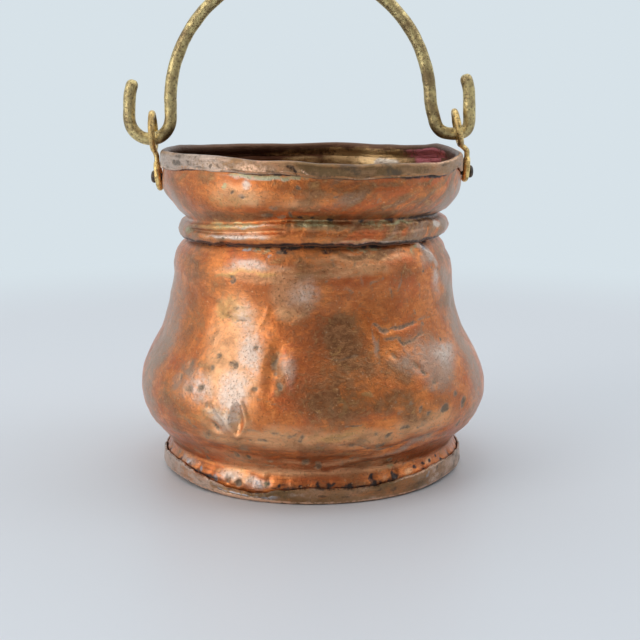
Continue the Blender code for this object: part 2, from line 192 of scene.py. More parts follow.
def collar_line(step):
    foot_curve = bend(COLLAR_FOOT, (BEAD[0], COLLAR_FOOT[1]), (BEAD[0], BEAD_TURN), BEAD)
    return evenly(
        [
            foot_curve,
            swell(BEAD, DIP, 0.7, 0.3),
            swell(DIP, RIDGE, 0.3, 0.7),
            swell(RIDGE, GROOVE, 0.7, 0.3),
            swell(GROOVE, FLARE, 0.15, 0.6),
            (LIP_RADIUS, BAND_BOTTOM),
            (LIP_RADIUS, FOLD_HEIGHT),
        ],
        step,
    )


def offset(line, distance):
    """The line moved to its left, which is inwards for an outline drawn from the bottom up."""
    way = np.gradient(line, axis=0)
    way /= np.linalg.norm(way, axis=1, keepdims=True)
    return line + distance * np.column_stack((-way[:, 1], way[:, 0]))


def edge(a, b):
    """Points of the rounded edge of a sheet, from its face at a to its face at b."""
    centre, half = (a + b) / 2, (a - b) / 2
    up = np.array((-half[1], half[0]))
    angles = np.radians((30, 60, 90, 120, 150))
    return np.array([centre + half * math.cos(t) + up * math.sin(t) for t in angles])


def closed_section(outer, inner):
    """The outline of a sheet and, for each point, 0 on its outer face, 1 inside and 0.5 on an edge."""
    top = edge(outer[-1], inner[-1])
    bottom = edge(inner[0], outer[0])
    parts = [(outer, 0.0), (top, 0.5), (inner[::-1], 1.0), (bottom, 0.5)]
    return np.vstack([p for p, _ in parts]), np.concatenate([np.full(len(p), s) for p, s in parts])


# Fields over the surface

NOISE_HEIGHT = 160


def fade(value, low, high):
    """0 below low, 1 above high and smooth between them."""
    t = np.clip((value - low) / (high - low), 0, 1)
    return t * t * (3 - 2 * t)


def span(value, low, full, fall, high):
    """1 between full and fall, falling smoothly to 0 at low and at high."""
    return fade(value, low, full) * (1 - fade(value, fall, high))


def hump(value, middle, width):
    return np.exp(-(((value - middle) / width) ** 2))


def turn_between(azimuth, middle):
    """The azimuth measured from a middle, between -180 and 180."""
    return (azimuth - middle + 180) % 360 - 180


def noise(azimuth, height, across, tall, seed):
    """Smooth noise between -1 and 1 with cells of a width in degrees and a height in millimetres."""
    columns = round(360 / across)
    rows = math.ceil(NOISE_HEIGHT / tall) + 2
    table = np.random.default_rng(seed).uniform(-1, 1, (rows, columns))
    u = (azimuth % 360) / 360 * columns
    v = np.clip(height / tall + 1, 0, rows - 1.001)
    i, j = np.floor(v).astype(int), np.floor(u).astype(int)
    p, q = v - i, u - j
    p, q = p * p * (3 - 2 * p), q * q * (3 - 2 * q)
    j, k = j % columns, (j + 1) % columns
    low = table[i, j] * (1 - q) + table[i, k] * q
    high = table[i + 1, j] * (1 - q) + table[i + 1, k] * q
    return low * (1 - p) + high * p


def ripple(azimuth, across, seed):
    """Noise that changes with the azimuth alone."""
    return noise(azimuth, 0 * azimuth, across, 50, seed)


def layered(azimuth, height, across, tall, seed):
    """Noise with two finer layers on it."""
    total = noise(azimuth, height, across, tall, seed)
    total += 0.5 * noise(azimuth, height, across / 2.2, tall / 2.2, seed + 1)
    return total + 0.28 * noise(azimuth, height, across / 4.5, tall / 4.5, seed + 2)


# A mark on the surface: where its middle is, its size along and up the wall in millimetres, how deep
# or how strong it is, and the angle at which it leans in degrees
Mark = namedtuple("Mark", "azimuth height wide tall amount lean", defaults=(0,))

# A line on the surface: its width, how high or strong it is, and its corners as (azimuth, height)
Stroke = namedtuple("Stroke", "width amount corners")


def marks(*rows):
    return [Mark(*row) for row in rows]


def strokes(*rows):
    return [Stroke(width, amount, corners) for width, amount, *corners in rows]


def near_rows(height, low, high):
    """The rows of a grid that reach between two heights."""
    return (height.max(axis=1) > low) & (height.min(axis=1) < high)


def mark_reach(mark, azimuth, height, radius):
    """The distance of each point from a mark's middle, where 1 is the mark's edge."""
    along = np.radians(turn_between(azimuth, mark.azimuth)) * radius
    up = height - mark.height
    c, s = math.cos(math.radians(mark.lean)), math.sin(math.radians(mark.lean))
    return np.hypot((along * c + up * s) / (mark.wide / 2), (up * c - along * s) / (mark.tall / 2))


def stroke_gap(stroke, azimuth, height, radius):
    """The distance of each point from the middle of a stroke."""
    gap = np.full_like(azimuth, np.inf)
    for (a, low), (b, high) in zip(stroke.corners, stroke.corners[1:]):
        x = np.radians(turn_between(azimuth, a)) * radius
        y = height - low
        run, rise = math.radians(b - a) * radius, high - low
        share = np.clip((x * run + y * rise) / (run**2 + rise**2), 0, 1)
        gap = np.minimum(gap, np.hypot(x - share * run, y - share * rise))
    return gap


def near_marks(group, azimuth, height, radius):
    """Each mark, with the rows that it reaches and the distances of their points from it."""
    for mark in group:
        half = max(mark.wide, mark.tall) / 2
        rows = near_rows(height, mark.height - half, mark.height + half)
        yield mark, rows, mark_reach(mark, azimuth[rows], height[rows], radius[rows])


def near_strokes(group, azimuth, height, radius):
    """Each stroke, with the rows that it reaches and the distances of their points from it."""
    for stroke in group:
        heights = [corner[1] for corner in stroke.corners]
        rows = near_rows(height, min(heights) - 2 * stroke.width, max(heights) + 2 * stroke.width)
        yield stroke, rows, stroke_gap(stroke, azimuth[rows], height[rows], radius[rows])


def pressed(group, *grid):
    """How far the marks press the wall in."""
    depth = np.zeros_like(grid[0])
    for mark, rows, distance in near_marks(group, *grid):
        depth[rows] += mark.amount * np.clip(1 - distance**2, 0, 1) ** 2
    return depth


def painted(group, *grid, soft=0.8):
    """How strongly the marks cover the wall. soft is the share of a mark over which it fades."""
    cover = np.zeros_like(grid[0])
    for mark, rows, distance in near_marks(group, *grid):
        cover[rows] = np.maximum(cover[rows], mark.amount * (1 - fade(distance, 1 - soft, 1)))
    return cover


def ridged(group, *grid):
    """How far the strokes stand out from the wall."""
    out = np.zeros_like(grid[0])
    for stroke, rows, gap in near_strokes(group, *grid):
        out[rows] += stroke.amount * hump(gap, 0, stroke.width / 2)
    return out


def inked(group, *grid):
    """1 in the middle of a stroke, falling evenly to 0 at its width from there."""
    cover = np.zeros_like(grid[0])
    for stroke, rows, gap in near_strokes(group, *grid):
        cover[rows] = np.maximum(cover[rows], stroke.amount * np.clip(1 - gap / stroke.width, 0, 1))
    return cover


def scattered(count, seed, sizes, amounts, azimuths, heights, stretch=1.0):
    """Marks at random places, each leaning a little."""
    random = np.random.default_rng(seed)
    found = []
    for _ in range(count):
        size, azimuth, height = (random.uniform(*ends) for ends in (sizes, azimuths, heights))
        tall, lean, amount = (random.uniform(*ends) for ends in ((0.7, 1.2), (-30, 30), amounts))
        found.append(Mark(azimuth, height, size * stretch, size * tall, amount, lean))
    return found


def flowing(count, seed, lengths, widths, amounts, heights, slope=0.05):
    """Strokes at random places that run round the pot, each with a small wave."""
    random = np.random.default_rng(seed)
    found = []
    for _ in range(count):
        start, height = random.uniform(*ALL_ROUND), random.uniform(*heights)
        length, lean = random.uniform(*lengths), random.uniform(-slope, slope)
        bows = random.uniform(-0.5, 0.5, 4)
        corners = [(start + length * k / 3, height + lean * length * k / 3 + bows[k]) for k in range(4)]
        found.append(Stroke(random.uniform(*widths), random.uniform(*amounts), corners))
    return found


# The hand-made shape that all the sheets share


# How much narrower the pot is at its left and right side than its round outline, against height
SIDE_TRIM = {
    0: (0.6, 0.5), 8: (1.2, 0.9), 13: (-0.4, 0), 22: (-0.2, -0.9), 31: (0.7, -0.6), 42: (0.7, 0.4),
    57: (1.5, 1.3), 63: (0.6, 0.8), 72: (0.2, 0.3), 80: (1.4, 0), 85: (1.2, 0.6), 89: (1.2, 1.8),
    92: (1.4, 1.6), 95: (2.8, 2.3), 96.4: (2, 1), 98.4: (1.7, 0.3), 100.2: (1.7, 0.3),
    101.6: (2, 0.9), 102.8: (2.9, 2.4), 103.8: (3.3, 3.1), 106: (2.5, 1), 111: (1.9, 0.4),
    117: (0, 0),
}


def beside_link(azimuth):
    """1 where the wall faces a link, which needs it true, falling to 0 on both sides."""
    return 1 - fade(np.abs(np.abs(turn_between(azimuth, 0)) - 90), 9, 22)


def trim(azimuth, height):
    """How far the wall is drawn in at the left and right side."""
    turn = turn_between(azimuth, 0)
    left, right = (np.interp(height, list(SIDE_TRIM), side) for side in zip(*SIDE_TRIM.values()))
    return span(-turn, 38, 78, 104, 150) * left + span(turn, 38, 78, 104, 150) * right


# Waves of the hand-raised wall: their height, width in degrees, size up the wall and seed
WAVES = ((0.42, 60, 42, 1), (0.24, 24, 17, 2), (0.08, 8, 6.5, 3), (0.035, 3.4, 3.6, 4))

# A dent in the far wall of the collar and its rim, which catches the light inside the pot
FAR_WALL_DENT = Mark(151, 117, 26, 20, 2)


def swelling(azimuth, height):
    """How far the wall stands out from its round outline."""
    out = sum(depth * noise(azimuth, height, *cell) for depth, *cell in WAVES)
    out -= trim(azimuth, height)
    out -= pressed([FAR_WALL_DENT], azimuth, height, np.full_like(height, FLARE[0]))
    at_foot = 0.4 + 0.6 * fade(height, 4, 10)
    return out * (1 - beside_link(azimuth) * fade(height, 108, 114)) * at_foot


# Lift of the bead's lower edge, crest and upper groove at the front, left and right of the pot
BEAD_LIFTS = {
    88: (0, 0, 0),
    COLLAR_FOOT[1]: (1.3, -1, 0.1),
    BEAD[1]: (1.4, -0.9, 0.5),
    GROOVE[1]: (3, -1.6, 0.4),
    113: (0, 0, 0),
}

# How far the rim is raised against the azimuth
RIM_LIFT = {
    -180: 0, -140: 0, -125: 0.4, -110: 1.1, -98: 1.3, -75: 0.9, -60: 1, -45: 1.3, -35: 1.9,
    -27: 1.5, -18: 0.8, -4: 0.1, 3: -0.7, 10: -1, 25: -0.7, 43: -1.6, 55: -1.7, 68: -1.2, 80: -0.4,
    90: 0, 98: 0.25, 108: 1.1, 117: 1.4, 125: 0.8, 140: 0, 180: 0,
}


def hem(azimuth):
    """How far the lower edge of the rim band is raised."""
    turn = turn_between(azimuth, 0)
    return 0.2 + 1.4 * span(turn, -70, -34, 74, 92) + 1.4 * hump(turn, 69, 8)


def lift(azimuth, height):
    """How far the wall is raised: the bead wanders, the rim waves and the foot is bent up."""
    turn = turn_between(azimuth, 0)
    front = np.clip(np.cos(np.radians(turn)), 0, 1) ** 2
    left, right = (np.where(side, np.sin(np.radians(turn)) ** 2, 0) for side in (turn < 0, turn > 0))
    sides = zip((front, left, right), zip(*BEAD_LIFTS.values()))
    bead = sum(share * np.interp(height, list(BEAD_LIFTS), lifts) for share, lifts in sides)
    rim = (0.45 * ripple(azimuth, 24, 5) + 0.24 * ripple(azimuth, 9, 6)) * (1 - beside_link(azimuth))
    rim += np.interp(turn, list(RIM_LIFT), list(RIM_LIFT.values()))
    foot = 1.6 * hump(turn, -60, 20) + 1.1 * hump(turn, 62, 18)
    return bead + rim * fade(height, 112, 124) + foot * (1 - fade(height, 3, 15))


# Meshes


def place(azimuth, radius, height):
    a = np.radians(azimuth)
    return np.stack((radius * np.sin(a), -radius * np.cos(a), height), axis=-1)


def add_object(name, data):
    obj = bpy.data.objects.new(name, data)
    bpy.context.collection.objects.link(obj)
    return obj


def mesh_object(name, points, faces, material, attributes=None):
    mesh = bpy.data.meshes.new(name)
    mesh.from_pydata((np.asarray(points) * MM).tolist(), [], faces)
    for key, values in (attributes or {}).items():
        layer = mesh.attributes.new(key, "FLOAT", "POINT")
        layer.data.foreach_set("value", np.asarray(values, np.float32).ravel())
    mesh.materials.append(material)
    mesh.shade_smooth()
    return add_object(name, mesh)


def ring_faces(rows, turns, closed):
    """Quads of a grid of rows round the axis. A closed grid joins its last row to its first."""
    i = np.arange(rows if closed else rows - 1)[:, None]
    j = np.arange(turns)[None, :]
    after, beside = (i + 1) % rows, (j + 1) % turns
    corners = (i * turns + j, i * turns + beside, after * turns + beside, after * turns + j)
    return np.stack(corners, axis=-1).reshape(-1, 4).tolist()


def around(rows):
    """Azimuth, radius and height of each point of a section turned round the axis."""
    return [np.array(grid) for grid in np.broadcast_arrays(COLUMNS, rows[:, :1], rows[:, 1:])]


def closed_ends(points, rows, turns, tips):
    """Points and faces of rows round an axis, closed by a point before the first and after the last."""
    count, last = len(points), (rows - 1) * turns
    faces = ring_faces(rows, turns, False)
    for j in range(turns):
        k = (j + 1) % turns
        faces.append((count, k, j))
        faces.append((count + 1, last + j, last + k))
    return np.vstack((points, tips)), faces


def make_sheet(name, section, shape, masks, material):
    """A closed section turned round the axis, shaped by hand and given its tones."""
    rows, inside = section
    azimuth, radius, height = around(rows)
    inside = np.broadcast_to(inside[:, None], azimuth.shape)
    points = place(azimuth, *shape(azimuth, radius, height)).reshape(-1, 3)
    faces = ring_faces(len(rows), len(COLUMNS), True)
    return mesh_object(name, points, faces, material, masks(azimuth, radius, height, inside))


# Marks that the photo shows on the front of the body, then others like them on its far side

# A crease on the right shoulder, raised as a ridge and painted pale along it as a glint.
CREASE = (2.4, 0.9, (49.8, 95), (55, 91.6), (57.2, 89.8), (59.8, 86.8))
DENTS = marks(
    (-22.6, 34, 7, 15, 1.8, -2), (-31, 30.2, 11, 5.6, 1.4, -26), (-43.9, 51, 5.4, 5.4, 0.5),
    (-32.7, 55.5, 3.6, 3.6, 0.5), (-33.6, 51.8, 5, 4.4, -0.4), (-45.9, 46, 2.6, 5, 0.35),
    (-41.6, 42.7, 6, 6, 0.5), (-36.9, 44, 5.4, 4.2, 0.45, 20), (-37.4, 48.8, 4.4, 4, 0.3),
    (-26, 53.5, 5.6, 7, 0.4, 30), (-19.1, 59.2, 3.6, 3.6, 0.35), (-17.3, 45.3, 3.6, 3.6, 0.35),
    (-33, 37.9, 3.6, 3.6, 0.35), (-37.4, 72.7, 7, 6, 0.25), (-38.5, 66.7, 6, 5, 0.25),
    (-12.1, 53, 9, 23, 1, -4), (-6.6, 54.7, 9, 17, -0.5), (-9.9, 47.4, 3.4, 4.4, 0.35, 30),
    (-22, 66, 17, 12, 0.45, 10), (28.6, 56, 5.6, 2.6, 0.5, -42), (35.4, 36.3, 3.4, 3.4, 0.45),
    (37.4, 50.4, 9, 4.4, 0.5, -50), (42.6, 45.1, 4.6, 4.6, 0.4), (55.4, 34.2, 4.6, 6.4, 0.5),
    (45.2, 34.6, 7, 6, 0.35), (39, 33.9, 3.8, 3.2, 0.3, 20), (-2.1, 17, 5, 5, 0.45),
    (2, 15.4, 5, 6, 0.45), (-26.3, 18.3, 4.6, 5.4, 0.4), (-21.8, 18, 3.2, 3.6, 0.35),
    (12, 71, 26, 14, 0.6), (50, 91, 14, 9, 0.6), (-31, 83.6, 3.6, 5.4, 0.3, 10),
    (-31.5, 6.6, 2.8, 3.2, 0.8), (-26.8, 6.5, 3.6, 4, 1), (22.6, 8.4, 4.4, 4.6, 0.9),
    (32.2, 8.8, 4.2, 5.4, 1.1),
)
RIDGES = strokes(
    (1.7, 0.85, (-21.7, 40.8), (-20.5, 38.1), (-19.4, 33.9), (-20.8, 29.6), (-23.1, 27)),
    (1.6, 0.6, (-24.3, 38.8), (-25.6, 35.7), (-25.6, 32.1), (-23.5, 27.2)),
    (2, 0.7, (-30.8, 39.2), (-28.1, 35.3), (-26.7, 32.8), (-25.6, 30)),
    (2, 0.3, (-34.5, 64.2), (-36.6, 60.3)), (2, 0.4, (-33.7, 70.6), (-32, 72.3), (-29.9, 73.5)),
    (1.8, -0.4, (-32.4, 69.3), (-29, 68.4), (-25.4, 68.5)),
    (1.8, 0.3, (-19, 67.5), (-17, 70), (-16, 73.5)),
    (1.8, -0.26, (23.4, 67.4), (26.7, 64.8), (32.8, 65.7), (38.8, 66.2), (50.7, 67.4)),
    (2.6, 0.14, (26, 62.8), (32.8, 63.4), (42, 64)),
    (2, -0.2, (23.7, 64.5), (23.2, 59), (22.7, 53.5)), CREASE,
    (2.8, 0.55, (5, 14.2), (8.5, 15.1), (18.5, 17.4), (30.6, 18.5), (38.8, 20.3), (50, 21)),
    (2, -0.45, (8.7, 25.4), (22.5, 22), (27.3, 21.9), (32.3, 23.9), (38.6, 23.9), (48, 25)),
    (2, -0.3, (8.5, 13), (18.5, 15.4), (30.6, 16.6)),
)
BACK_RIDGES = strokes(
    (2.4, 0.5, (128, 44), (134, 50), (137, 57)), (2.2, -0.4, (196, 66), (206, 63), (215, 64.5)),
)

FRONT = (-78, 78)
FAR_SIDE = (78, 282)
ALL_ROUND = (-180, 180)
FAR_DENTS = scattered(30, 11, (4, 12), (0.2, 0.8), FAR_SIDE, (16, 88))
HAMMER_MARKS = scattered(1000, 12, (4.5, 11), (-0.09, 0.15), ALL_ROUND, (10, 96), 1.2)
FLOW_LINES = flowing(70, 13, (12, 34), (1.2, 2.4), (-0.22, 0.22), (11.5, 28))


def tooth_at(azimuth):
    """1 at each tooth of the crimped foot, 0 between them. The teeth are not quite alike."""
    bent = azimuth + 1.9 * ripple(azimuth, 11, 14)
    strength = np.clip(0.62 + 0.6 * ripple(azimuth, 7.5, 15), 0, 1)
    return strength * (0.5 + 0.5 * np.cos(np.radians(bent * TEETH))) ** 3


def body_shape(azimuth, radius, height):
    """Radius and height of the body's wall, hammered and dented."""
    out = swelling(azimuth, height)
    out -= pressed(DENTS + FAR_DENTS + HAMMER_MARKS, azimuth, height, radius)
    out += ridged(RIDGES + BACK_RIDGES + FLOW_LINES, azimuth, height, radius)
    ledge = hump(height, 86.4 + 0.04 * turn_between(azimuth, -24), 1.2)
    out += 0.45 * ledge * (0.3 + 0.7 * hump(turn_between(azimuth, -20), 0, 28))
    out -= 0.55 * tooth_at(azimuth) * span(height, 5.4, 6.8, 8.2, 10.8)
    return radius + out, height + lift(azimuth, height)


def make_body(material):
    section = closed_section(body_line(ROW), offset(body_line(INNER_ROW), SHEET))
    return make_sheet("body_copper", section, body_shape, body_masks, material)


# Where each tone, painted highlight and painted shade lies on the body

OLIVE = marks(
    (7, 43, 48, 38, 0.85), (18, 52, 40, 24, 0.8), (2, 66, 44, 34, 0.45), (24, 38, 34, 14, 0.7, 8),
    (11, 61, 25, 32, 1.25), (-11, 52, 8, 26, 1.2), (22, 92.6, 70, 4, 1, 3),
    (30, 50, 26, 18, 0.8, 20), (0, 92, 90, 5, 0.7), (0, 21, 70, 7, 0.55), (-52, 84, 34, 14, 0.6),
    (-50, 66, 24, 34, 0.5), (-64, 40, 30, 60, 0.5), (-44, 24, 30, 12, 0.4), (150, 50, 80, 56, 0.9),
    (-140, 60, 60, 50, 0.8), (100, 40, 40, 40, 0.6),
)
# Grey film, and painted sheen: the side light's sheen on the right of the belly, and the room's
# reflection along the left and right edges.
TAUPE_AND_SHEEN = marks(
    (-82, 72, 44, 50, 0.82), (46, 51, 38, 34, 1), (72, 70, 20, 50, 0.9), (34, 53, 22, 15, 0.75, 12),
    (51, 52, 26, 22, 0.8), (68, 52, 24, 70, 0.9), (-66, 50, 38, 90, 0.9), (-42, 46, 20, 24, 0.6),
    (41, 44.5, 10, 7, 0.8), (-8, 54, 9, 14, 0.6), (30, 19, 60, 6, 0.7, 6),
    (-30, 16, 50, 6, 0.5, -4), (23.2, 59, 3, 13, 0.8, 4), (54, 89, 20, 12, 0.8),
    (-22, 89, 40, 4, 0.6), (58, 112, 30, 20, 0.4), (170, 30, 70, 40, 0.7), (-110, 50, 50, 60, 0.7),
    (120, 70, 40, 40, 0.6),
)
SPOTS = marks(
    (-31.5, 6.7, 2.4, 3, 1.3), (-26.8, 6.4, 3.2, 3.4, 1.4), (-31, 83.5, 3.4, 5.4, 1, 10),
    (-43.9, 51, 4.8, 4.8, 0.75), (-32.7, 55.5, 3.2, 3.2, 0.9), (-33.6, 51.2, 4.6, 3.4, 0.7),
    (-45.9, 46, 2.2, 4.4, 0.9), (-41.6, 42.5, 5.2, 4.8, 0.7), (-36.9, 43.8, 5.4, 4, 0.8, 25),
    (-19.1, 59.2, 3, 3, 0.8), (-17.3, 45.3, 3, 3, 0.8), (-33, 37.9, 3.2, 3, 0.8),
    (-26, 53.3, 4.4, 5.6, 0.85, 30), (-31, 30.2, 8, 2.8, 0.8, -26), (-22.6, 33.5, 2.2, 7, 0.6, -2),
    (-9.9, 47.4, 2.8, 3.8, 1, 30), (-12, 53, 3, 11, 0.7, -4), (28.6, 56, 4.8, 2.2, 1, -42),
    (36.4, 52, 2.6, 4.4, 0.9, 10), (38.4, 49.1, 4, 1.8, 1, -42), (42.6, 45.1, 3.4, 3.4, 0.9),
    (35.4, 36.3, 3.6, 3.6, 1.5), (38.8, 33.9, 3, 2.8, 1.2, 20), (45.2, 34.6, 6.4, 5.4, 1.1),
    (50.5, 38.5, 4, 3, 0.9, 20), (55.4, 34.2, 4.4, 6.2, 1.4), (55.7, 25.4, 3.4, 4, 1),
    (45.7, 64.9, 1.8, 2, 1), (53.3, 58.6, 1.8, 2, 1), (27.8, 36.3, 3.8, 2, 0.8),
    (26.3, 40.3, 2.8, 2, 0.7), (31.2, 39.1, 2.8, 2, 0.7), (29.8, 29.8, 4.6, 2, 0.9, 5),
    (24.4, 27.6, 4.6, 2.4, 0.9, 25), (22, 23.9, 4.6, 2.4, 0.9), (42.6, 70, 1.8, 2.4, 0.9),
    (-2.1, 17, 4.4, 4.4, 1), (2, 15.4, 3.6, 5, 1), (-26.3, 18.3, 3.6, 4.6, 1),
    (-21.8, 18, 2.4, 2.8, 0.9), (-41.6, 17.6, 4, 2.6, 0.8), (-63.7, 9.8, 4, 3, 0.8),
    (-42.2, 13, 2.8, 1.6, 0.9), (-19.9, 26.2, 4.4, 2.6, 0.8), (-14.6, 26.3, 5.6, 2, 0.8),
    (-2.7, 28.5, 2, 5.4, 0.8), (-10.9, 29.5, 5, 1.2, 0.7), (55.4, 85.8, 2.2, 2.2, 1),
    (49.5, 85.4, 2, 2, 0.9), (60.9, 84.7, 2, 2, 0.9), (-13, 93.3, 6, 2.4, 0.7),
)
SCRATCHES = strokes(
    (0.79, 0.72, (12.4, 81.5), (13.8, 81.2), (15.6, 80)), (0.92, 0.56, (18.3, 84.6), (18.8, 82.4)),
    (0.92, 0.64, (22.5, 82.6), (25.1, 83.6), (28.3, 84.6)),
    (0.86, 0.8, (36.8, 85.2), (36.3, 82.6), (34.2, 79.6)),
    (0.92, 0.8, (30.6, 80.4), (31.2, 78.6), (31.7, 76.6)),
    (1.06, 0.56, (45.4, 81.5), (46.5, 78), (46.7, 74.7)),
    (1.3, 1.1, (23.4, 67.4), (25, 65.4), (28, 64.9), (32.8, 65.8), (36, 65.2), (40.4, 67)),
    (0.86, 0.72, (40.4, 67), (45, 67), (50.7, 67.6)),
    (1.2, 1, (27, 62.6), (31.8, 62.1), (34.7, 59.7), (38.6, 60.8), (43.9, 62.2)),
    (0.86, 0.56, (43.9, 62.2), (46.4, 60.6), (48, 58.6)),
    (0.79, 0.64, (24.6, 63), (24.2, 58), (23.6, 53.6)),
    (0.79, 0.8, (-32.6, 69.4), (-29, 68.5), (-25.2, 68.5)),
    (0.66, 0.64, (-15.8, 41.9), (-13.4, 41.7), (-10.6, 41.1)),
    (0.73, 0.72, (-25.6, 45.2), (-24, 44.6), (-22.3, 42.8)),
)
# Dark lines; the first and the third follow grooves of RIDGES and paint the shade in them.
DARK_GROOVE_LINES = strokes(
    (0.79, 0.64, (8.7, 25.4), (22.5, 22), (27.3, 21.9), (32.3, 23.9), (38.6, 23.9), (48, 25.2)),
    (0.79, 0.64, (10.2, 33.1), (12.4, 32.9), (15.4, 32.6)),
    (0.79, 0.56, (8.5, 13.2), (18.5, 15.6), (30.6, 16.9), (38, 18.6)),
    (0.79, 0.56, (4, 56.8), (9, 56), (15, 57.4)),
)
# Dark lines painted along the undercut below the bead: painted shade.
UNDERCUT_SHADE = strokes(
    (1, 1, (-75, 95.2), (-50, 95.4), (-28.4, 95.2), (-17.8, 95.3), (-8, 95)),
    (1.1, 1, (-10, 95.5), (-4.2, 95.4), (11, 95.6), (27.4, 95.8), (48, 95.8), (68, 95.5)),
    (1.2, 1, (68, 95.2), (120, 94.8), (180, 95), (240, 95.2), (285, 95.2)),
)
# Black marks, most of them painted shade: along the undercut below the bead and in the notches of the
# crimped foot. The two at the front of the undercut, (-11.3, 93.8) and (6.8, 94.1), are blobs of dark
# crust.
SOOT_AND_SHADE = marks(
    (-11.3, 93.8, 3.8, 2.4, 0.8), (6.8, 94.1, 6, 2.4, 0.75), (26, 95.1, 26, 1.6, 0.7),
    (58, 95.2, 8, 2.6, 0.9), (22.4, 8.6, 3.6, 4.4, 0.75, -20), (24.6, 6.8, 4.6, 2.4, 0.8),
    (32, 7.9, 4.4, 5.6, 0.8, 20), (29.5, 6.6, 8, 1.8, 0.8, 5), (31.4, 13.2, 5, 1.8, 0.7),
    (-10.5, 6.9, 2.6, 1.8, 1), (-2.9, 7, 3.4, 1.8, 1), (2.2, 7.8, 2.4, 2, 0.8),
    (7.4, 7.2, 3.4, 1.8, 0.9), (13.8, 6.8, 3.6, 2, 0.9), (41.2, 9.4, 2.6, 2.2, 1),
    (46.5, 9.4, 2.4, 2.2, 1), (50.6, 9.8, 2.2, 2.4, 1), (55.6, 10, 2, 2.2, 1),
)
# Gold, most of it painted highlight and reflection: the window's light on the left of the belly, the
# shoulder and its ledge and the foot, and the table's reflection on the foot's neck and the low belly.
# The marks on the far side are lighter patches.
GLOW_HIGHLIGHTS = marks(
    (-14, 86.6, 70, 4, 1.3), (-27, 54, 40, 74, 1, 8), (-27, 33, 34, 20, 1), (-16, 86, 70, 10, 0.9),
    (-7, 78, 24, 24, 1.4), (14, 88, 70, 9, 0.75), (0, 14, 120, 12, 1.4), (-30, 17, 50, 8, 0.9),
    (0, 27, 130, 14, 0.95), (20, 91.5, 70, 5, 0.8), (-26, 26, 50, 10, 0.8), (-27, 8, 18, 6, 1.2),
    (38, 8.6, 7, 3.4, 0.9, 12), (50, 10, 8, 3.4, 0.9, 12), (27.5, 8, 4, 3.4, 0.7),
    (38, 30, 56, 15, 0.8, 4), (-5, 31, 50, 8, 0.55), (6, 40.5, 2.6, 10, 0.9),
    (12, 51.4, 8, 2, 0.8, -38), (18.3, 43.3, 6, 2, 0.7, -20), (160, 75, 60, 30, 0.7),
    (-120, 30, 50, 30, 0.7),
)
# Painted highlights: the window's highlight on the left of the belly, the shoulder and the foot, and the
# side light's sheen and glint on the right, with a few more on the far side.
PALE_HIGHLIGHTS = marks(
    (-21.5, 58, 16, 28, 0.95, 6), (-24.5, 43, 18, 28, 1, 14), (-27.5, 32, 18, 16, 0.8),
    (-36, 43, 22, 24, 0.65, 24), (-24, 70, 16, 22, 0.55), (-27, 89.4, 24, 8, 0.85),
    (-4, 78, 18, 20, 0.5), (-7, 53, 8, 20, 0.42), (-27, 34, 22, 14, 0.85), (53, 53, 26, 22, 0.7),
    (56, 91, 9, 11, 0.9, 20), (60, 80, 12, 20, 0.6), (-20, 7.2, 16, 6, 1.1), (-30, 7.6, 16, 6, 0.9),
    (-52, 7.6, 26, 5, 0.6), (140, 48, 24, 46, 0.7), (215, 86, 40, 8, 0.7),
)
ROUGE = marks(
    (12, 84, 66, 16, 0.95), (2, 66, 40, 22, 0.8), (40, 64, 30, 18, 0.5), (12, 34, 60, 6, 0.6),
    (-4, 60, 22, 20, 0.7), (10, 13, 90, 9, 0.7), (-20, 15, 40, 7, 0.7), (-130, 80, 60, 30, 0.7),
    (110, 75, 50, 30, 0.7),
)
# Yellow-olive tone; the marks at (-27, 86.4), (-28, 72) and (-27, 33) paint the yellow parts of the
# window's highlight and of the lit shoulder ledge.
YELLOW = marks(
    (-27, 86.4, 34, 3.4, 1.2), (-28, 72, 24, 16, 0.9), (-27, 33, 30, 16, 0.7),
    (6, 40.5, 4, 14, 0.9), (12, 51.4, 10, 4, 0.9, -38), (18.3, 43.3, 9, 4, 0.8, -20),
    (5, 30, 40, 8, 0.6), (30, 55, 8, 8, 0.5), (-28, 7.6, 18, 6, 0.6), (-40, 30, 20, 10, 0.4),
    (170, 60, 40, 30, 0.6),
)
VERDIGRIS = marks(
    (-22, 94.2, 22, 2.2, 0.8), (20, 94.4, 30, 2.4, 0.7), (46, 93, 10, 3, 0.6, 20),
    (-15.5, 6.6, 4, 2.4, 0.9), (30.5, 11.6, 4, 3, 0.6),
)
# Silver solder and crust; the mark at (53.5, 93.6) is a painted teal-white glint on the right shoulder.
SOLDER_AND_GLINT = marks(
    (-53.9, 8.3, 3.8, 3.4, 0.8, -30), (-44.8, 7.2, 3.4, 3, 0.75, -30), (-36.8, 6, 4.4, 2.8, 0.75),
    (-20, 6.4, 8, 3.2, 0.6, -12), (-26, 93.9, 10, 1.6, 0.8), (53.5, 93.6, 4.4, 3, 1),
    (-17, 92.3, 1.8, 1.8, 0.7),
)

FAR_OLIVE = scattered(9, 21, (20, 44), (0.5, 0.9), FAR_SIDE, (20, 88), 1.4)
FAR_SPOTS = scattered(70, 22, (2, 5), (0.5, 1.0), FAR_SIDE, (14, 94))
SMALL_SPOTS = scattered(110, 23, (0.9, 2.2), (0.3, 0.6), FRONT, (13, 93))
BELT_SPOTS = scattered(60, 24, (1.6, 4.4), (0.3, 0.65), FRONT, (13, 31), 1.6)
FAINT_LINES = flowing(90, 25, (4, 18), (0.7, 1.2), (0.3, 0.6), (11.5, 31))


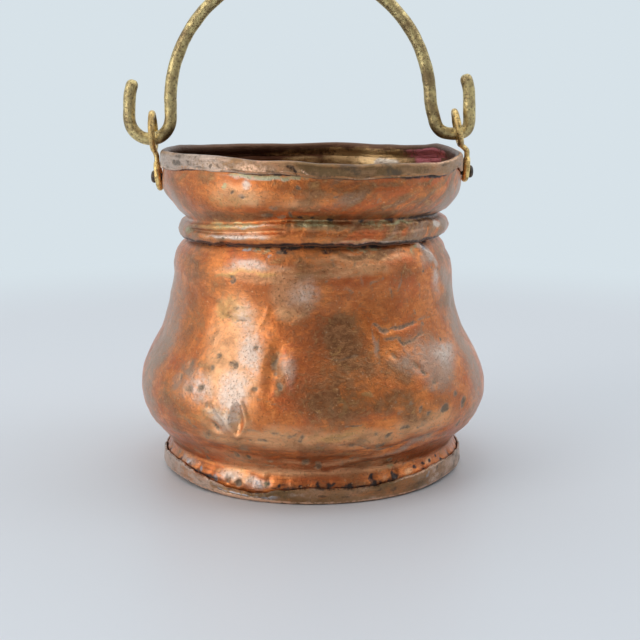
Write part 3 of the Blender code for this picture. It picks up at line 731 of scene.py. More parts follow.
def body_masks(azimuth, radius, height, inside):
    turn = turn_between(azimuth, 0)
    a = azimuth + 0.9 * noise(azimuth, height, 4, 3, 39)
    h = height + 0.7 * noise(azimuth, height, 3, 2.4, 40)
    broad_a = azimuth + 5 * layered(azimuth, height, 22, 18, 31)
    broad_h = height + 4 * layered(azimuth, height, 20, 16, 35)
    fine = (a, h, radius)
    broad = (broad_a, broad_h, radius)
    between = ((a + broad_a) / 2, (h + broad_h) / 2, radius)
    # Painted shade: a dark line low on the skirt where it meets the pan, dark at the pressed teeth of
    # the crimped foot, and dark lines along the undercut and the grooves.
    skirt_seam_shade = hump(height, 5.9, 0.8) * (1 - hump(turn, -24, 11))
    notch_shade = 1.1 * tooth_at(azimuth) * hump(height, 7, 1.2) * (1 - 0.8 * hump(turn, -32, 22))
    lines = np.maximum(inked(UNDERCUT_SHADE, *fine), 0.8 * inked(DARK_GROOVE_LINES, *fine))
    patches = np.clip(layered(azimuth, height, 17, 12, 33) - 0.15, 0, 1)
    embers = np.clip(layered(azimuth, height, 19, 10, 43) - 0.1, 0, 1)
    dots = painted(SPOTS + FAR_SPOTS + SMALL_SPOTS + BELT_SPOTS, *fine, soft=0.6)
    scratches = inked(SCRATCHES + DARK_GROOVE_LINES + FAINT_LINES, *fine)
    return {
        "olive": np.maximum(painted(OLIVE + FAR_OLIVE, *broad), 0.75 * patches),
        # Grey film and painted sheen.
        "taupe": painted(TAUPE_AND_SHEEN, *broad),
        "spots": np.maximum(dots, scratches),
        # Black marks and painted shade.
        "soot": np.maximum.reduce([painted(SOOT_AND_SHADE, *fine, soft=0.5), skirt_seam_shade, notch_shade, lines]),
        # Painted highlights and reflections, with some lighter patches.
        "glow": painted(GLOW_HIGHLIGHTS, *fine),
        "rouge": np.maximum(painted(ROUGE, *broad), 0.8 * embers) * (inside < 0.5),
        "green": painted(VERDIGRIS, *fine, soft=0.7),
        "solder": painted(SOLDER_AND_GLINT, *fine, soft=0.5),
        # Painted highlights, with a painted glint along the crease.
        "pale": np.maximum(painted(PALE_HIGHLIGHTS, *between, soft=0.95), inked(strokes(CREASE), *fine)),
        "yellow": painted(YELLOW, *broad),
        "lined": 0.2 + 0.7 * (1 - fade(height, 20, 38)) + 0.3 * hump(height, 90, 8),
        "inside": inside,
    }


# Collar

COLLAR_DENTS = scattered(110, 41, (6, 13), (-0.12, 0.2), ALL_ROUND, (103, 122), 1.3)

# The lap seam of the collar, and where the crust that runs right from it along the bead ends
SEAM = -9.2
CRUST_END = 56


def in_crust(turn, soft):
    """1 along the crust, 0 beyond it. soft is how far it fades to each side of the seam."""
    return span(turn, SEAM - soft, SEAM + soft, CRUST_END, CRUST_END + 12)


def collar_shape(azimuth, radius, height):
    turn = turn_between(azimuth, 0)
    out = swelling(azimuth, height) - pressed(COLLAR_DENTS, azimuth, height, radius)
    merged = fade(np.abs(turn), 48, 76)
    out += hump(height, DIP[1], 1) * (0.55 * merged + 0.25 * ripple(azimuth, 9, 42))
    smooth_part = span(turn, -70, -50, SEAM - 2, SEAM)
    out += (0.45 * hump(height, BEAD[1], 1.2) - 0.55 * hump(height, DIP[1], 0.7)) * smooth_part
    out += 0.35 * hump(height, RIDGE[1] + 0.2, 0.9) * smooth_part
    out -= (0.6 - 0.75 * smooth_part) * hump(height, GROOVE[1] + 0.4, 1.4)
    out += 0.45 * (1 - fade(height, 95.8, 97.4)) * span(turn, -14, 6, 56, 74)
    lumps = 0.6 * noise(azimuth, height, 3.4, 1.8, 43) + 0.4 * noise(azimuth, height, 1.6, 1.2, 44)
    out += hump(height, RIDGE[1], 1.6) * in_crust(turn, 0.4) * (lumps - 0.1)
    out += 0.28 * hump(height, BEAD[1], 1.8) * ripple(azimuth, 7, 45)
    out += 0.35 * hump(turn, SEAM, 0.8) * span(height, 99.6, 101, 105, 108)
    wander = 0.45 * ripple(azimuth, 6, 46) + 0.2 * ripple(azimuth, 2.4, 47)
    wander *= 1 - fade(height, 96, 97.6)
    wander += 0.45 * ripple(azimuth, 14, 48) * hump(height, 100.5, 3.5)
    return radius + out, height + lift(azimuth, height) + wander


# Olive film; the strip at (30, 120) paints the shadow under the rim band on the right.
COLLAR_OLIVE_AND_SHADOW = marks(
    (-40, 106, 66, 8, 1.3), (24, 106.4, 80, 6, 1.1, 3), (-52, 100.5, 36, 6, 1),
    (-46, 97, 30, 2.4, 0.8), (-16, 107, 14, 7, 1.1), (-60, 118, 14, 12, 0.7),
    (30, 112, 60, 8, 0.9, 20), (45, 109, 40, 12, 0.8, 30), (30, 120, 60, 4, 1),
    (-58, 112, 22, 22, 0.8, -30), (0, 105.5, 50, 4, 0.9), (-20, 105.5, 30, 4, 0.9),
    (160, 113, 80, 12, 0.8), (-120, 113, 60, 12, 0.6),
)
# Grey film, and painted sheen: the room's reflection along the collar's left and right edges.
COLLAR_TAUPE_AND_SHEEN = marks(
    (-86, 106, 48, 40, 0.8), (-74, 102, 30, 22, 0.85), (74, 101, 22, 14, 1), (76, 114, 20, 20, 1),
    (-66, 108, 20, 30, 0.9), (64, 110, 22, 26, 0.8), (-24.4, 115.2, 5, 3, 0.7),
    (120, 112, 50, 14, 0.7),
)
# Painted highlights: the window's light on the left of the collar and on the bead, the lit lip above the
# undercut, and the window's reflection on the far inside wall.
COLLAR_GLOW_HIGHLIGHTS = marks(
    (-26, 115, 36, 13, 0.9), (-22.6, 119, 5, 3.4, 0.9), (-4, 112, 30, 10, 0.55),
    (-32, 99.4, 50, 7, 1), (30, 97.4, 76, 1.6, 0.8), (62, 100.5, 10, 5, 0.9),
    (130, 110, 60, 14, 0.7), (154, 120, 60, 14, 1.8), (184, 120, 30, 8, 0.9),
)
COLLAR_YELLOW = marks(
    (-36, 102, 52, 3.4, 1.4), (-30, 113, 36, 10, 0.4), (4, 101.8, 34, 3.4, 1.1),
    (34, 102.2, 40, 3, 1), (146, 119, 60, 12, 0.8),
)
# Painted highlights and glints on the collar, the bead and the line under the rim band, and the window's
# painted highlight on the far inside wall.
COLLAR_PALE_HIGHLIGHTS = marks(
    (-22.6, 119.2, 6, 4, 0.9), (-30, 98.8, 38, 2.8, 1.3), (-24, 101.8, 26, 1.6, 0.8),
    (26, 96.8, 60, 1, 0.6), (63, 101, 9, 4, 1.3), (-18, 121.6, 42, 2.2, 0.9),
    (146, 120.2, 17, 5, 1.7),
)
COLLAR_ROUGE = marks(
    (8, 111, 50, 9, 0.8, 10), (36, 107, 50, 8, 1, 25), (56, 108, 20, 12, 0.8, 30),
    (30, 98.8, 70, 4, 0.9), (-150, 110, 60, 14, 0.7),
)
# A painted red reflection on the far inside wall of the collar and the rim band.
RED_REFLECTION_MARK = Mark(121, 121, 28, 14, 1.3)
COLLAR_GREEN = marks(
    (-31.4, 117.4, 2.6, 2.8, 1.4), (-30, 102.4, 40, 2, 0.75), (2, 102.6, 24, 3.4, 0.9),
    (32, 102.6, 40, 2.2, 0.8), (-15, 122, 46, 2.6, 1.1), (-61, 100, 12, 5, 0.7),
)
COLLAR_SPOTS = marks(
    (-4, 118.8, 3, 2, 0.9), (-28.5, 116.3, 2.6, 2, 0.6, 40), (-24, 114.4, 2.4, 1.8, 0.8),
    (-13.5, 110.5, 4.4, 4, 0.6), (-16.4, 106.4, 7, 3.2, 0.9), (-11, 105.8, 4, 3.4, 0.9),
    (-7.6, 106.6, 1.8, 7, 1), (8.5, 116, 2.4, 2, 0.7), (24, 113.5, 3, 2.4, 0.8),
    (-35, 98, 2.4, 1.4, 1),
)
# Black dots in the crust; the line at (52, 105.4) along the groove paints its shade.
COLLAR_SOOT_AND_SHADE = marks(
    (-4, 105, 4, 2, 0.7), (1.5, 105.2, 2.6, 2.4, 1.1), (7.7, 104, 3.4, 2.2, 1),
    (20, 103.4, 2.6, 1.8, 0.9, 5), (52, 105.4, 14, 1.8, 0.8, 8),
)


def collar_masks(azimuth, radius, height, inside):
    turn = turn_between(azimuth, 0)
    a = azimuth + 0.9 * noise(azimuth, height, 4, 3, 51)
    h = height + 0.6 * noise(azimuth, height, 3, 2.4, 52)
    fine = (a, h, radius)
    right_part = span(turn, 0, 16, 70, 90)
    dark_sides = np.maximum(right_part, fade(-turn, 62, 84))
    crumbs = hump(height, 102.4, 1.7) * in_crust(turn, 1)
    streaks = layered(azimuth - 1.3 * height * np.sign(turn + 12), height, 6, 14, 53)
    patches = np.clip(layered(azimuth, height, 13, 8, 56) - 0.1, 0, 1)
    # Black dots and crumbs of the crust, and painted shade: dark lines under the collar's foot, under
    # the rim band's lower edge and in the groove above the bead, more at the sides.
    soot = painted(COLLAR_SOOT_AND_SHADE, *fine, soft=0.6)
    soot += hump(height, 95.9, 0.9)
    soot += hump(height, BAND_BOTTOM + hem(azimuth) - 0.1, 0.6 + 0.5 * fade(turn, 0, 40))
    soot += 0.9 * hump(height, 104.2, 0.8) * fade(turn, 34, 52)
    soot += 0.42 * hump(height, 104, 1) * dark_sides
    soot += 0.8 * crumbs * np.clip(noise(azimuth, height, 2.6, 1.6, 54) - 0.1, 0, 1)
    olive = painted(COLLAR_OLIVE_AND_SHADOW, *fine) * (0.9 + 0.4 * streaks)
    olive_streaks = right_part * np.clip(0.3 + 1.1 * streaks, 0, 1)
    red_streaks = right_part * np.clip(0.4 - 1.2 * streaks, 0, 1.1)
    embers = np.maximum(painted(COLLAR_ROUGE, *fine), red_streaks)
    return {
        "olive": np.maximum.reduce([olive, 0.8 * patches, olive_streaks]) + crumbs,
        "taupe": np.maximum(painted(COLLAR_TAUPE_AND_SHEEN, *fine), 0.5 * streaks * right_part),
        "spots": painted(COLLAR_SPOTS, *fine, soft=0.6),
        "soot": np.clip(soot, 0, 1),
        "yellow": painted(COLLAR_YELLOW, *fine),
        "lined": np.full_like(height, 0.3),
        # Painted highlights and reflections.
        "glow": painted(COLLAR_GLOW_HIGHLIGHTS, *fine),
        # Outside, a red tone; inside, the painted red reflection.
        "rouge": np.where(inside < 0.5, embers, painted([RED_REFLECTION_MARK], *fine)),
        "green": painted(COLLAR_GREEN, *fine, soft=0.7),
        # Painted highlights.
        "pale": painted(COLLAR_PALE_HIGHLIGHTS, *fine),
        "inside": inside,
    }


def make_collar(material):
    """The collar, whose inner face keeps a sheet's thickness from the bead's narrowest places."""
    inner = collar_line(1.2)
    narrowest = np.array([inner[np.abs(inner[:, 1] - h) < 2.2, 0].min() for h in inner[:, 1]])
    inner = np.column_stack((narrowest - SHEET, inner[:, 1]))
    section = closed_section(collar_line(0.45), inner)
    return make_sheet("collar_copper", section, collar_shape, collar_masks, material)


# Rim band

# Painted highlights on the band near the slit.
BAND_GLOW_HIGHLIGHTS = marks(
    (-20, 124.6, 22, 6, 0.55), (-30.5, 123.4, 1.2, 4, 0.9, 10), (-9.5, 123.2, 3.4, 3, 0.8),
    (-2.4, 123.8, 1.6, 4.4, 0.9, 20),
)
BAND_SPOTS = marks(
    (-56, 124.4, 9, 4, 0.8), (-37, 123.8, 1.6, 3.6, 0.9, 10), (-34, 124, 1.4, 3.4, 0.9, 10),
    (-14, 123.6, 5, 3, 0.7), (30.5, 124, 3.4, 5, 0.9, 10), (36, 123.6, 2.6, 3, 0.7),
)
# The slit in the band: pressed in, and painted dark as the shade in the cut.
SLIT = strokes((1.2, 1, (-7.6, 126), (-6.2, 125.6), (-5, 124.2), (-4.3, 121.4)))


def band_section():
    """The folded strip: its outer leg, its fold over the edge of the collar and its inner leg."""
    angles = np.linspace(0, math.pi, 24)
    fold = BAND_FOLD * np.column_stack((np.cos(angles), np.sin(angles)))
    fold += (BAND_RADIUS - BAND_FOLD, FOLD_HEIGHT)
    inner_end = (BAND_RADIUS - 2 * BAND_FOLD, BAND_INNER_END)
    outer = evenly([(BAND_RADIUS, BAND_BOTTOM), fold, inner_end], 0.5)
    return closed_section(outer, offset(outer, BAND_SHEET))


def facing_out(radius):
    return radius > BAND_RADIUS - BAND_SHEET - 0.4


def band_shape(azimuth, radius, height):
    turn = turn_between(azimuth, 0)
    outer_leg = facing_out(radius)
    inner_leg = radius < BAND_RADIUS - BAND_FOLD
    out = swelling(azimuth, height)
    out -= 0.6 * fade(inked(SLIT, azimuth, height, radius) * outer_leg, 0, 0.9)
    grain = 0.24 * noise(azimuth, height, 6, 3.4, 61) + 0.1 * noise(azimuth, height, 2.6, 2, 66)
    out += outer_leg * grain
    out += 0.95 * inner_leg * (1 - fade(height, BAND_INNER_END, POT_HEIGHT - 2.4))
    out += 0.25 * hump(turn, -2.4, 1.6) * (1 - fade(height, 125.5, 127))
    down = 0.5 * ripple(azimuth, 12, 62) + 0.2 * ripple(azimuth, 4, 63) - outer_leg * hem(azimuth)
    down *= 1 - fade(height, BAND_BOTTOM, BAND_BOTTOM + 3)
    free = 1 - beside_link(azimuth)
    return radius + out * free, height + lift(azimuth, height) - down * free


def band_masks(azimuth, radius, height, inside):
    turn = turn_between(azimuth, 0)
    a = azimuth + 1.2 * noise(azimuth, height, 4, 3, 64)
    fine = (a, height, radius)
    # A bright line along the lower edge, and a painted highlight along the top edge on the right.
    lower_edge = 0.7 * hump(height, 121.7, 0.5) * (0.5 + 0.6 * ripple(a, 9, 68))
    upper_edge = 0.75 * hump(height, POT_HEIGHT, 0.5) * fade(turn, 34, 52)
    rust = 1.4 * hump(height, 122.2, 0.7) * fade(turn, -40, -24)
    left_front = 0.5 * fade(-turn, 10, 34) - 0.12 * fade(turn, 0, 14)
    inner_radius = BAND_RADIUS - BAND_FOLD + 1.1 * fade(np.abs(turn), 95, 120)
    # The inside of the band: dark, painted as shade; gold low on the far wall where the window's light
    # falls, a painted highlight; and the painted red reflection.
    inner_low = 1 - fade(height + 1.2 * noise(azimuth, height, 5, 4, 76), 124, 127.2)
    lit = [hump(turn_between(azimuth, 150), 0, 26), 0.5 * hump(turn_between(azimuth, 190), 0, 12)]
    red_reflection_share = hump(turn_between(azimuth, RED_REFLECTION_MARK.azimuth), 0, 14)
    return {
        "olive": 0.5 + 0.4 * layered(a, height, 16, 12, 65) + 0.5 * span(turn, -10, 6, 38, 60),
        # Grey film and painted sheen, more on the left front.
        "taupe": 0.4 + 0.5 * layered(a, height, 12, 7, 69) + left_front,
        "spots": np.maximum(painted(BAND_SPOTS, *fine, soft=0.6), 0.75 * noise(a, height, 4, 2.4, 73)),
        # The slit painted dark: painted shade.
        "soot": 0.8 * inked(SLIT, azimuth, height, radius) * facing_out(radius),
        # Painted highlights, and a bright line along the lower edge.
        "glow": np.maximum.reduce([painted(BAND_GLOW_HIGHLIGHTS, *fine, soft=0.7), lower_edge, upper_edge]),
        "rouge": np.maximum(0.5 + 0.5 * layered(a, height, 10, 5, 75), rust),
        "inside": 1 - fade(radius, inner_radius - 0.6, inner_radius + 0.6),
        "gold": 1.2 * inner_low * np.maximum(*lit),
        "wine": 1.2 * red_reflection_share * (1 - fade(height, 125.4, 126.8)),
    }


def make_band(material):
    return make_sheet("rim_band_copper", band_section(), band_shape, band_masks, material)


# Base pan

# Rise of the pan's upper edge against the azimuth: it dips under the solder and gapes at the right
PAN_RISE = {
    -180: 0, -80: 0.2, -55: 0.1, -38: -1.3, -28: -2.8, -17: -3, -11: -1.2, 0: 0.1, 16: -0.9,
    24: -0.3, 34: 0.9, 46: 1.5, 60: 1.3, 78: 0.6, 110: 0, 180: 0,
}
# Silver solder, which also bulges the pan; the mark at (46, 4.6) is a painted silver highlight.
PAN_SOLDER_AND_GLINT = marks(
    (-25, 3.8, 28, 5, 1.3, -2), (-15, 3, 12, 4, 0.9), (46, 4.6, 4, 2.4, 0.6, 20),
)
# A crack under the solder, pressed in and painted dark as the shade in it.
PAN_CRACK = strokes((0.7, 0.8, (-35.5, 3), (-30, 2.4), (-26, 2.6), (-22, 2.2), (-16, 2.6)))
PAN_SPOTS = marks(
    (30, 3.6, 4.4, 2.6, 0.8), (4, 3.6, 7, 1.6, 0.7), (-9, 4, 4, 1.6, 0.6), (52, 5.4, 3, 3, 0.7),
)


def pan_section():
    """The outline of the pan's floor and upright edge, from the axis outside to the axis inside."""
    angles = np.linspace(-math.pi / 2, 0, 10)
    corner = FOOT_CORNER * np.column_stack((np.cos(angles), np.sin(angles)))
    corner += (FOOT_RADIUS - FOOT_CORNER, FOOT_CORNER)
    floor = evenly([(6, 0), (FOOT_RADIUS - FOOT_CORNER - 0.5, 0)], 4)
    outer = np.vstack((floor, evenly([corner, (FOOT_RADIUS, FOOT_HEIGHT)], 0.4)))
    inner = offset(outer, SHEET)
    return np.vstack((outer, edge(outer[-1], inner[-1]), inner[::-1]))


def pan_shape(azimuth, radius, height):
    turn = turn_between(azimuth, 0)
    at_edge = fade(radius, 58, 61)
    upright = fade(height, 1.5, 6)
    bulge = 0.85 * hump(turn, 33, 13) + 0.35 * hump(turn, -24, 7)
    bulge += 0.4 * np.clip(ripple(azimuth, 15, 82), 0, 1)
    rise = np.interp(turn, list(PAN_RISE), list(PAN_RISE.values()))
    rise += 0.4 * ripple(azimuth, 7, 83) - 0.35 * tooth_at(azimuth)
    out = 0.4 * swelling(azimuth, height) + upright * bulge + 0.12 * noise(azimuth, height, 4, 3, 84)
    out -= 0.3 * ridged(PAN_CRACK, azimuth, height, radius) + 0.5 * trim(azimuth, height)
    out += 0.3 * painted(PAN_SOLDER_AND_GLINT, azimuth, height, radius) * (radius > FOOT_RADIUS - 0.5)
    return radius + at_edge * out, height + at_edge * (upright * rise + lift(azimuth, height))


def pan_masks(azimuth, radius, height):
    turn = turn_between(azimuth, 0)
    a = azimuth + 0.9 * noise(azimuth, height, 4, 3, 85)
    fine = (a, height, radius)
    at_edge = fade(radius, 58, 61)
    left = fade(-turn, 24, 46)
    # A bright line along the pan's lower edge, and a painted highlight along its top edge on the right.
    lower_lip = 1.1 * hump(height, 0.8, 0.6 + 0.4 * hump(turn, -26, 12)) * at_edge
    upper_lip = 0.8 * hump(height, FOOT_HEIGHT, 0.45) * span(turn, 22, 36, 52, 64)
    return {
        "olive": 0.6 + 0.4 * layered(a, height, 14, 8, 86) - 0.4 * left,
        # Grey film, with painted sheen on the left and right sides.
        "taupe": 0.4 + 0.4 * layered(a, height, 10, 5, 89) + 0.5 * fade(turn, 30, 50) + left,
        "spots": np.maximum(painted(PAN_SPOTS, *fine, soft=0.7), 0.7 * noise(a, height, 4, 1.6, 92)),
        # The crack and a line at the top of the pan, under the skirt, painted dark: painted shade.
        "soot": np.maximum(inked(PAN_CRACK, *fine), 0.5 * hump(height, FOOT_HEIGHT + 0.2, 0.3)),
        "glow": np.maximum(lower_lip * (0.55 + 0.9 * hump(turn, -26, 14)), upper_lip),
        "rouge": 0.5 + 0.5 * layered(a, height, 9, 4, 94),
        "solder": painted(PAN_SOLDER_AND_GLINT, *fine, soft=0.6) * at_edge,
        "inside": radius < 50,
    }


def make_pan(material):
    """The disc and its upright edge, closed by a point below and one above."""
    rows = pan_section()
    grid = around(rows)
    points = place(grid[0], *pan_shape(*grid)).reshape(-1, 3)
    points, faces = closed_ends(points, len(rows), len(COLUMNS), [(0, 0, 0), (0, 0, SHEET)])
    masks = {key: np.append(values.ravel(), (0.5, 0.5)) for key, values in pan_masks(*grid).items()}
    return mesh_object("foot_pan_copper", points, faces, material, masks)


# Rods

# Size of the voxels that join a link's rings to its neck, and the steps that ease the joints
JOIN_VOXEL = 0.24
EASE_STEPS = 5

# The rounded ends of the bail: how far their rings are past the rod's end, and their shares of its
# radius
TIP_STEPS = (0.7, 1.4, 2.0, 2.3)
TIP_SHARES = (0.96, 0.84, 0.6, 0.36)


def tube(path, radii, sides, normal, closed=False):
    """Points and faces of a rod along a flat path. radii has one row for each point of the path."""
    path = np.asarray(path, float)
    if closed:
        way = np.roll(path, -1, axis=0) - np.roll(path, 1, axis=0)
    else:
        way = np.gradient(path, axis=0)
    way /= np.linalg.norm(way, axis=1, keepdims=True)
    normal = np.asarray(normal, float) / np.linalg.norm(normal)
    across = np.cross(way, normal)
    angles = np.linspace(0, 2 * math.pi, sides, endpoint=False)
    ring = across[:, None] * np.cos(angles)[:, None] + normal * np.sin(angles)[:, None]
    points = (path[:, None] + ring * radii[..., None]).reshape(-1, 3)
    faces = ring_faces(len(path), sides, closed)
    if not closed:
        last = (len(path) - 1) * sides
        faces.append(tuple(range(sides))[::-1])
        faces.append(tuple(range(last, last + sides)))
    return points, faces


def uneven(count, sides, size, amount, seed, closed=False):
    """The radius of a forged rod at each step and side."""
    steps = np.linspace(0, count / 3, count) % 150
    angles = np.linspace(-180, 180, sides, endpoint=False)
    grid_angle, grid_step = np.meshgrid(angles, steps)
    field = noise(grid_angle, grid_step, 60, 3, seed)
    field += 0.6 * noise(grid_angle, grid_step, 36, 1.2, seed + 1)
    if closed:
        share = fade(np.linspace(0, 1, count)[:, None], 0.85, 1)
        field = field * (1 - share) + field[0] * share
    return size * (1 + amount * field)


def wire_ring(side, bottom, top, width, seed):
    """A ring of wire in the plane through its bottom and top, upright along the wall."""
    bottom, top = np.array(bottom), np.array(top)
    angles = np.linspace(0, 2 * math.pi, RING_STEPS, endpoint=False)
    out, height = (bottom + (top - bottom) * (1 - np.cos(angles))[:, None] / 2).T
    path = np.column_stack((side * out, width / 2 * np.sin(angles), height))
    lean = (side * (top[0] - bottom[0]), 0, top[1] - bottom[1])
    radii = uneven(RING_STEPS, WIRE_SIDES, WIRE_RADIUS, 0.06, seed, True)
    return tube(path, radii, WIRE_SIDES, np.cross((0, 1, 0), lean), True)


def link_neck(link, seed):
    """The flattened neck from the top of the loop, over a kink, to the bottom of the eye."""
    start, end = np.array(link.loop_top), np.array(link.eye_bottom)
    line = evenly([start, (start[0], end[1] - LINK_KINK), end], 0.5)
    path = np.column_stack((link.side * line[:, 0], 0 * line[:, 0], line[:, 1]))
    radii = uneven(len(path), LINK_NECK_SIDES, LINK_NECK_RADIUS, 0.05, seed)
    points, faces = tube(path, radii, LINK_NECK_SIDES, (0, 1, 0))
    return points * (1, LINK_NECK_BREADTH, 1), faces


def make_link(name, link, seed, material):
    """Two rings of wire and the neck between them, forged into one piece."""
    bm = bmesh.new()
    for points, faces in (
        wire_ring(link.side, link.loop_bottom, link.loop_top, LOOP_WIDTH, seed),
        wire_ring(link.side, link.eye_bottom, link.eye_top, EYE_WIDTH, seed + 7),
        link_neck(link, seed + 14),
    ):
        verts = [bm.verts.new(p * MM) for p in points]
        for face in faces:
            bm.faces.new([verts[i] for i in face])
    bmesh.ops.recalc_face_normals(bm, faces=bm.faces)
    mesh = bpy.data.meshes.new(name)
    bm.to_mesh(mesh)
    bm.free()
    mesh.materials.append(material)
    obj = add_object(name, mesh)
    join = obj.modifiers.new("join", "REMESH")
    join.mode = "VOXEL"
    join.voxel_size = JOIN_VOXEL * MM
    ease = obj.modifiers.new("ease", "SMOOTH")
    ease.factor = 0.5
    ease.iterations = EASE_STEPS
    baked = bpy.data.meshes.new_from_object(obj.evaluated_get(bpy.context.evaluated_depsgraph_get()))
    obj.modifiers.clear()
    obj.data = baked
    bpy.data.meshes.remove(mesh)
    baked.name = name
    baked.shade_smooth()
    return obj


def arc(centre, radius, start, end):
    angles = np.radians(np.linspace(start, end, 40))
    return np.column_stack((centre[0] + radius * np.cos(angles), centre[1] + radius * np.sin(angles)))


def bail_line(step):
    """The centre line of the bail, as (x, z) points from the left tip to the right one."""
    left = (LEFT_PIVOT[0] - LEFT_HOOK_SHIFT, LEFT_PIVOT[1] + LEFT_HOOK_RADIUS)
    tip = (left[0] - LEFT_HOOK_RADIUS, left[1] + TIP_LENGTH)
    outer_leg = RIGHT_PIVOT[0] + OUTER_LEG_REACH
    outer = (outer_leg - RIGHT_OUTER_BEND, RIGHT_PIVOT[1] + RIGHT_OUTER_BEND)
    inner = (outer[0] - RIGHT_HOOK_FLAT, RIGHT_PIVOT[1] + RIGHT_INNER_BEND)
    left_leg = left[0] + LEFT_HOOK_RADIUS
    right_leg = inner[0] - RIGHT_INNER_BEND - RIGHT_LEG_LEAN
    middle, half_span = (left_leg + right_leg) / 2, (right_leg - left_leg) / 2
    level = (LEFT_PIVOT[1] + RIGHT_PIVOT[1]) / 2
    angles = np.linspace(math.pi, 0, 90)
    arch_height = level + LEG_HEIGHT + (ARCH_RISE - LEG_HEIGHT) * np.sin(angles)
    arch = np.column_stack((middle + half_span * np.cos(angles), arch_height))
    right_top = RIGHT_PIVOT[1] + LEFT_HOOK_RADIUS + TIP_LENGTH
    line = evenly(
        [
            (tip[0] + TIP_CURL, tip[1]),
            (tip[0] + 0.3 * TIP_CURL, tip[1] - 3),
            arc(left, LEFT_HOOK_RADIUS, 180, 360),
            arch,
            arc(inner, RIGHT_INNER_BEND, RIGHT_LEG_ANGLE, 270),
            arc(outer, RIGHT_OUTER_BEND, 270, 360),
            (outer_leg - 0.3 * TIP_CURL, right_top - 3),
            (outer_leg - TIP_CURL, right_top),
        ],
        step,
    )
    for _ in range(12):
        line[1:-1] = 0.25 * line[:-2] + 0.5 * line[1:-1] + 0.25 * line[2:]
    return line


def make_bail(material):
    line = bail_line(0.7)
    way = line[1] - line[0]
    start = line[0] - np.outer(TIP_STEPS[::-1], way / np.linalg.norm(way))
    way = line[-1] - line[-2]
    end = line[-1] + np.outer(TIP_STEPS, way / np.linalg.norm(way))
    line = np.vstack((start, line, end))
    radii = uneven(len(line), ROD_SIDES, ROD_RADIUS, 0.045, 81)
    dome = np.array(TIP_SHARES)[:, None]
    radii[:4] *= dome[::-1]
    radii[-4:] *= dome
    path = np.column_stack((line[:, 0], 0 * line[:, 0], line[:, 1]))
    points, faces = tube(path, radii, ROD_SIDES, (0, 1, 0))
    return mesh_object("bail_rod", points, faces, material)


def dome_rows(size, end, way):
    """Rows (radius, distance from the axis of the pot) of a rivet's end, from its rim to its crown."""
    radius, height = size
    angles = np.radians(np.linspace(0, 90, 7))[:-1]
    return [(radius * math.cos(t) ** 0.6, end + way * height * (1 - math.sin(t))) for t in angles]


def make_rivet(node, link, material):
    """The rivet's head outside the loop, its shank and its peened end inside the collar."""
    low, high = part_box(node)
    inner, outer = sorted(abs(x) / MM for x in (low.x, high.x))
    peen = dome_rows(RIVET_PEEN, inner, 1)[::-1]
    shank = [(RIVET_SHANK, inner + RIVET_PEEN[1]), (RIVET_SHANK, outer - RIVET_HEAD[1])]
    rows = np.array(peen + shank + dome_rows(RIVET_HEAD, outer, -1))
    angle = np.linspace(0, 2 * math.pi, RIVET_SIDES, endpoint=False)
    radius = rows[:, :1] * (1 + 0.05 * np.sin(2 * angle + 1) + 0.03 * np.sin(5 * angle))
    x = np.broadcast_to(link.side * rows[:, 1:], radius.shape)
    y, z = radius * np.cos(angle), link.rivet + radius * np.sin(angle)
    points = np.stack((x, y, z), axis=-1).reshape(-1, 3)
    tips = [(link.side * end, 0, link.rivet) for end in (inner, outer)]
    points, faces = closed_ends(points, len(rows), RIVET_SIDES, tips)
    if link.side > 0:
        faces = [f[::-1] for f in faces]
    return mesh_object(f"{node}_head", points, faces, material)


# Materials


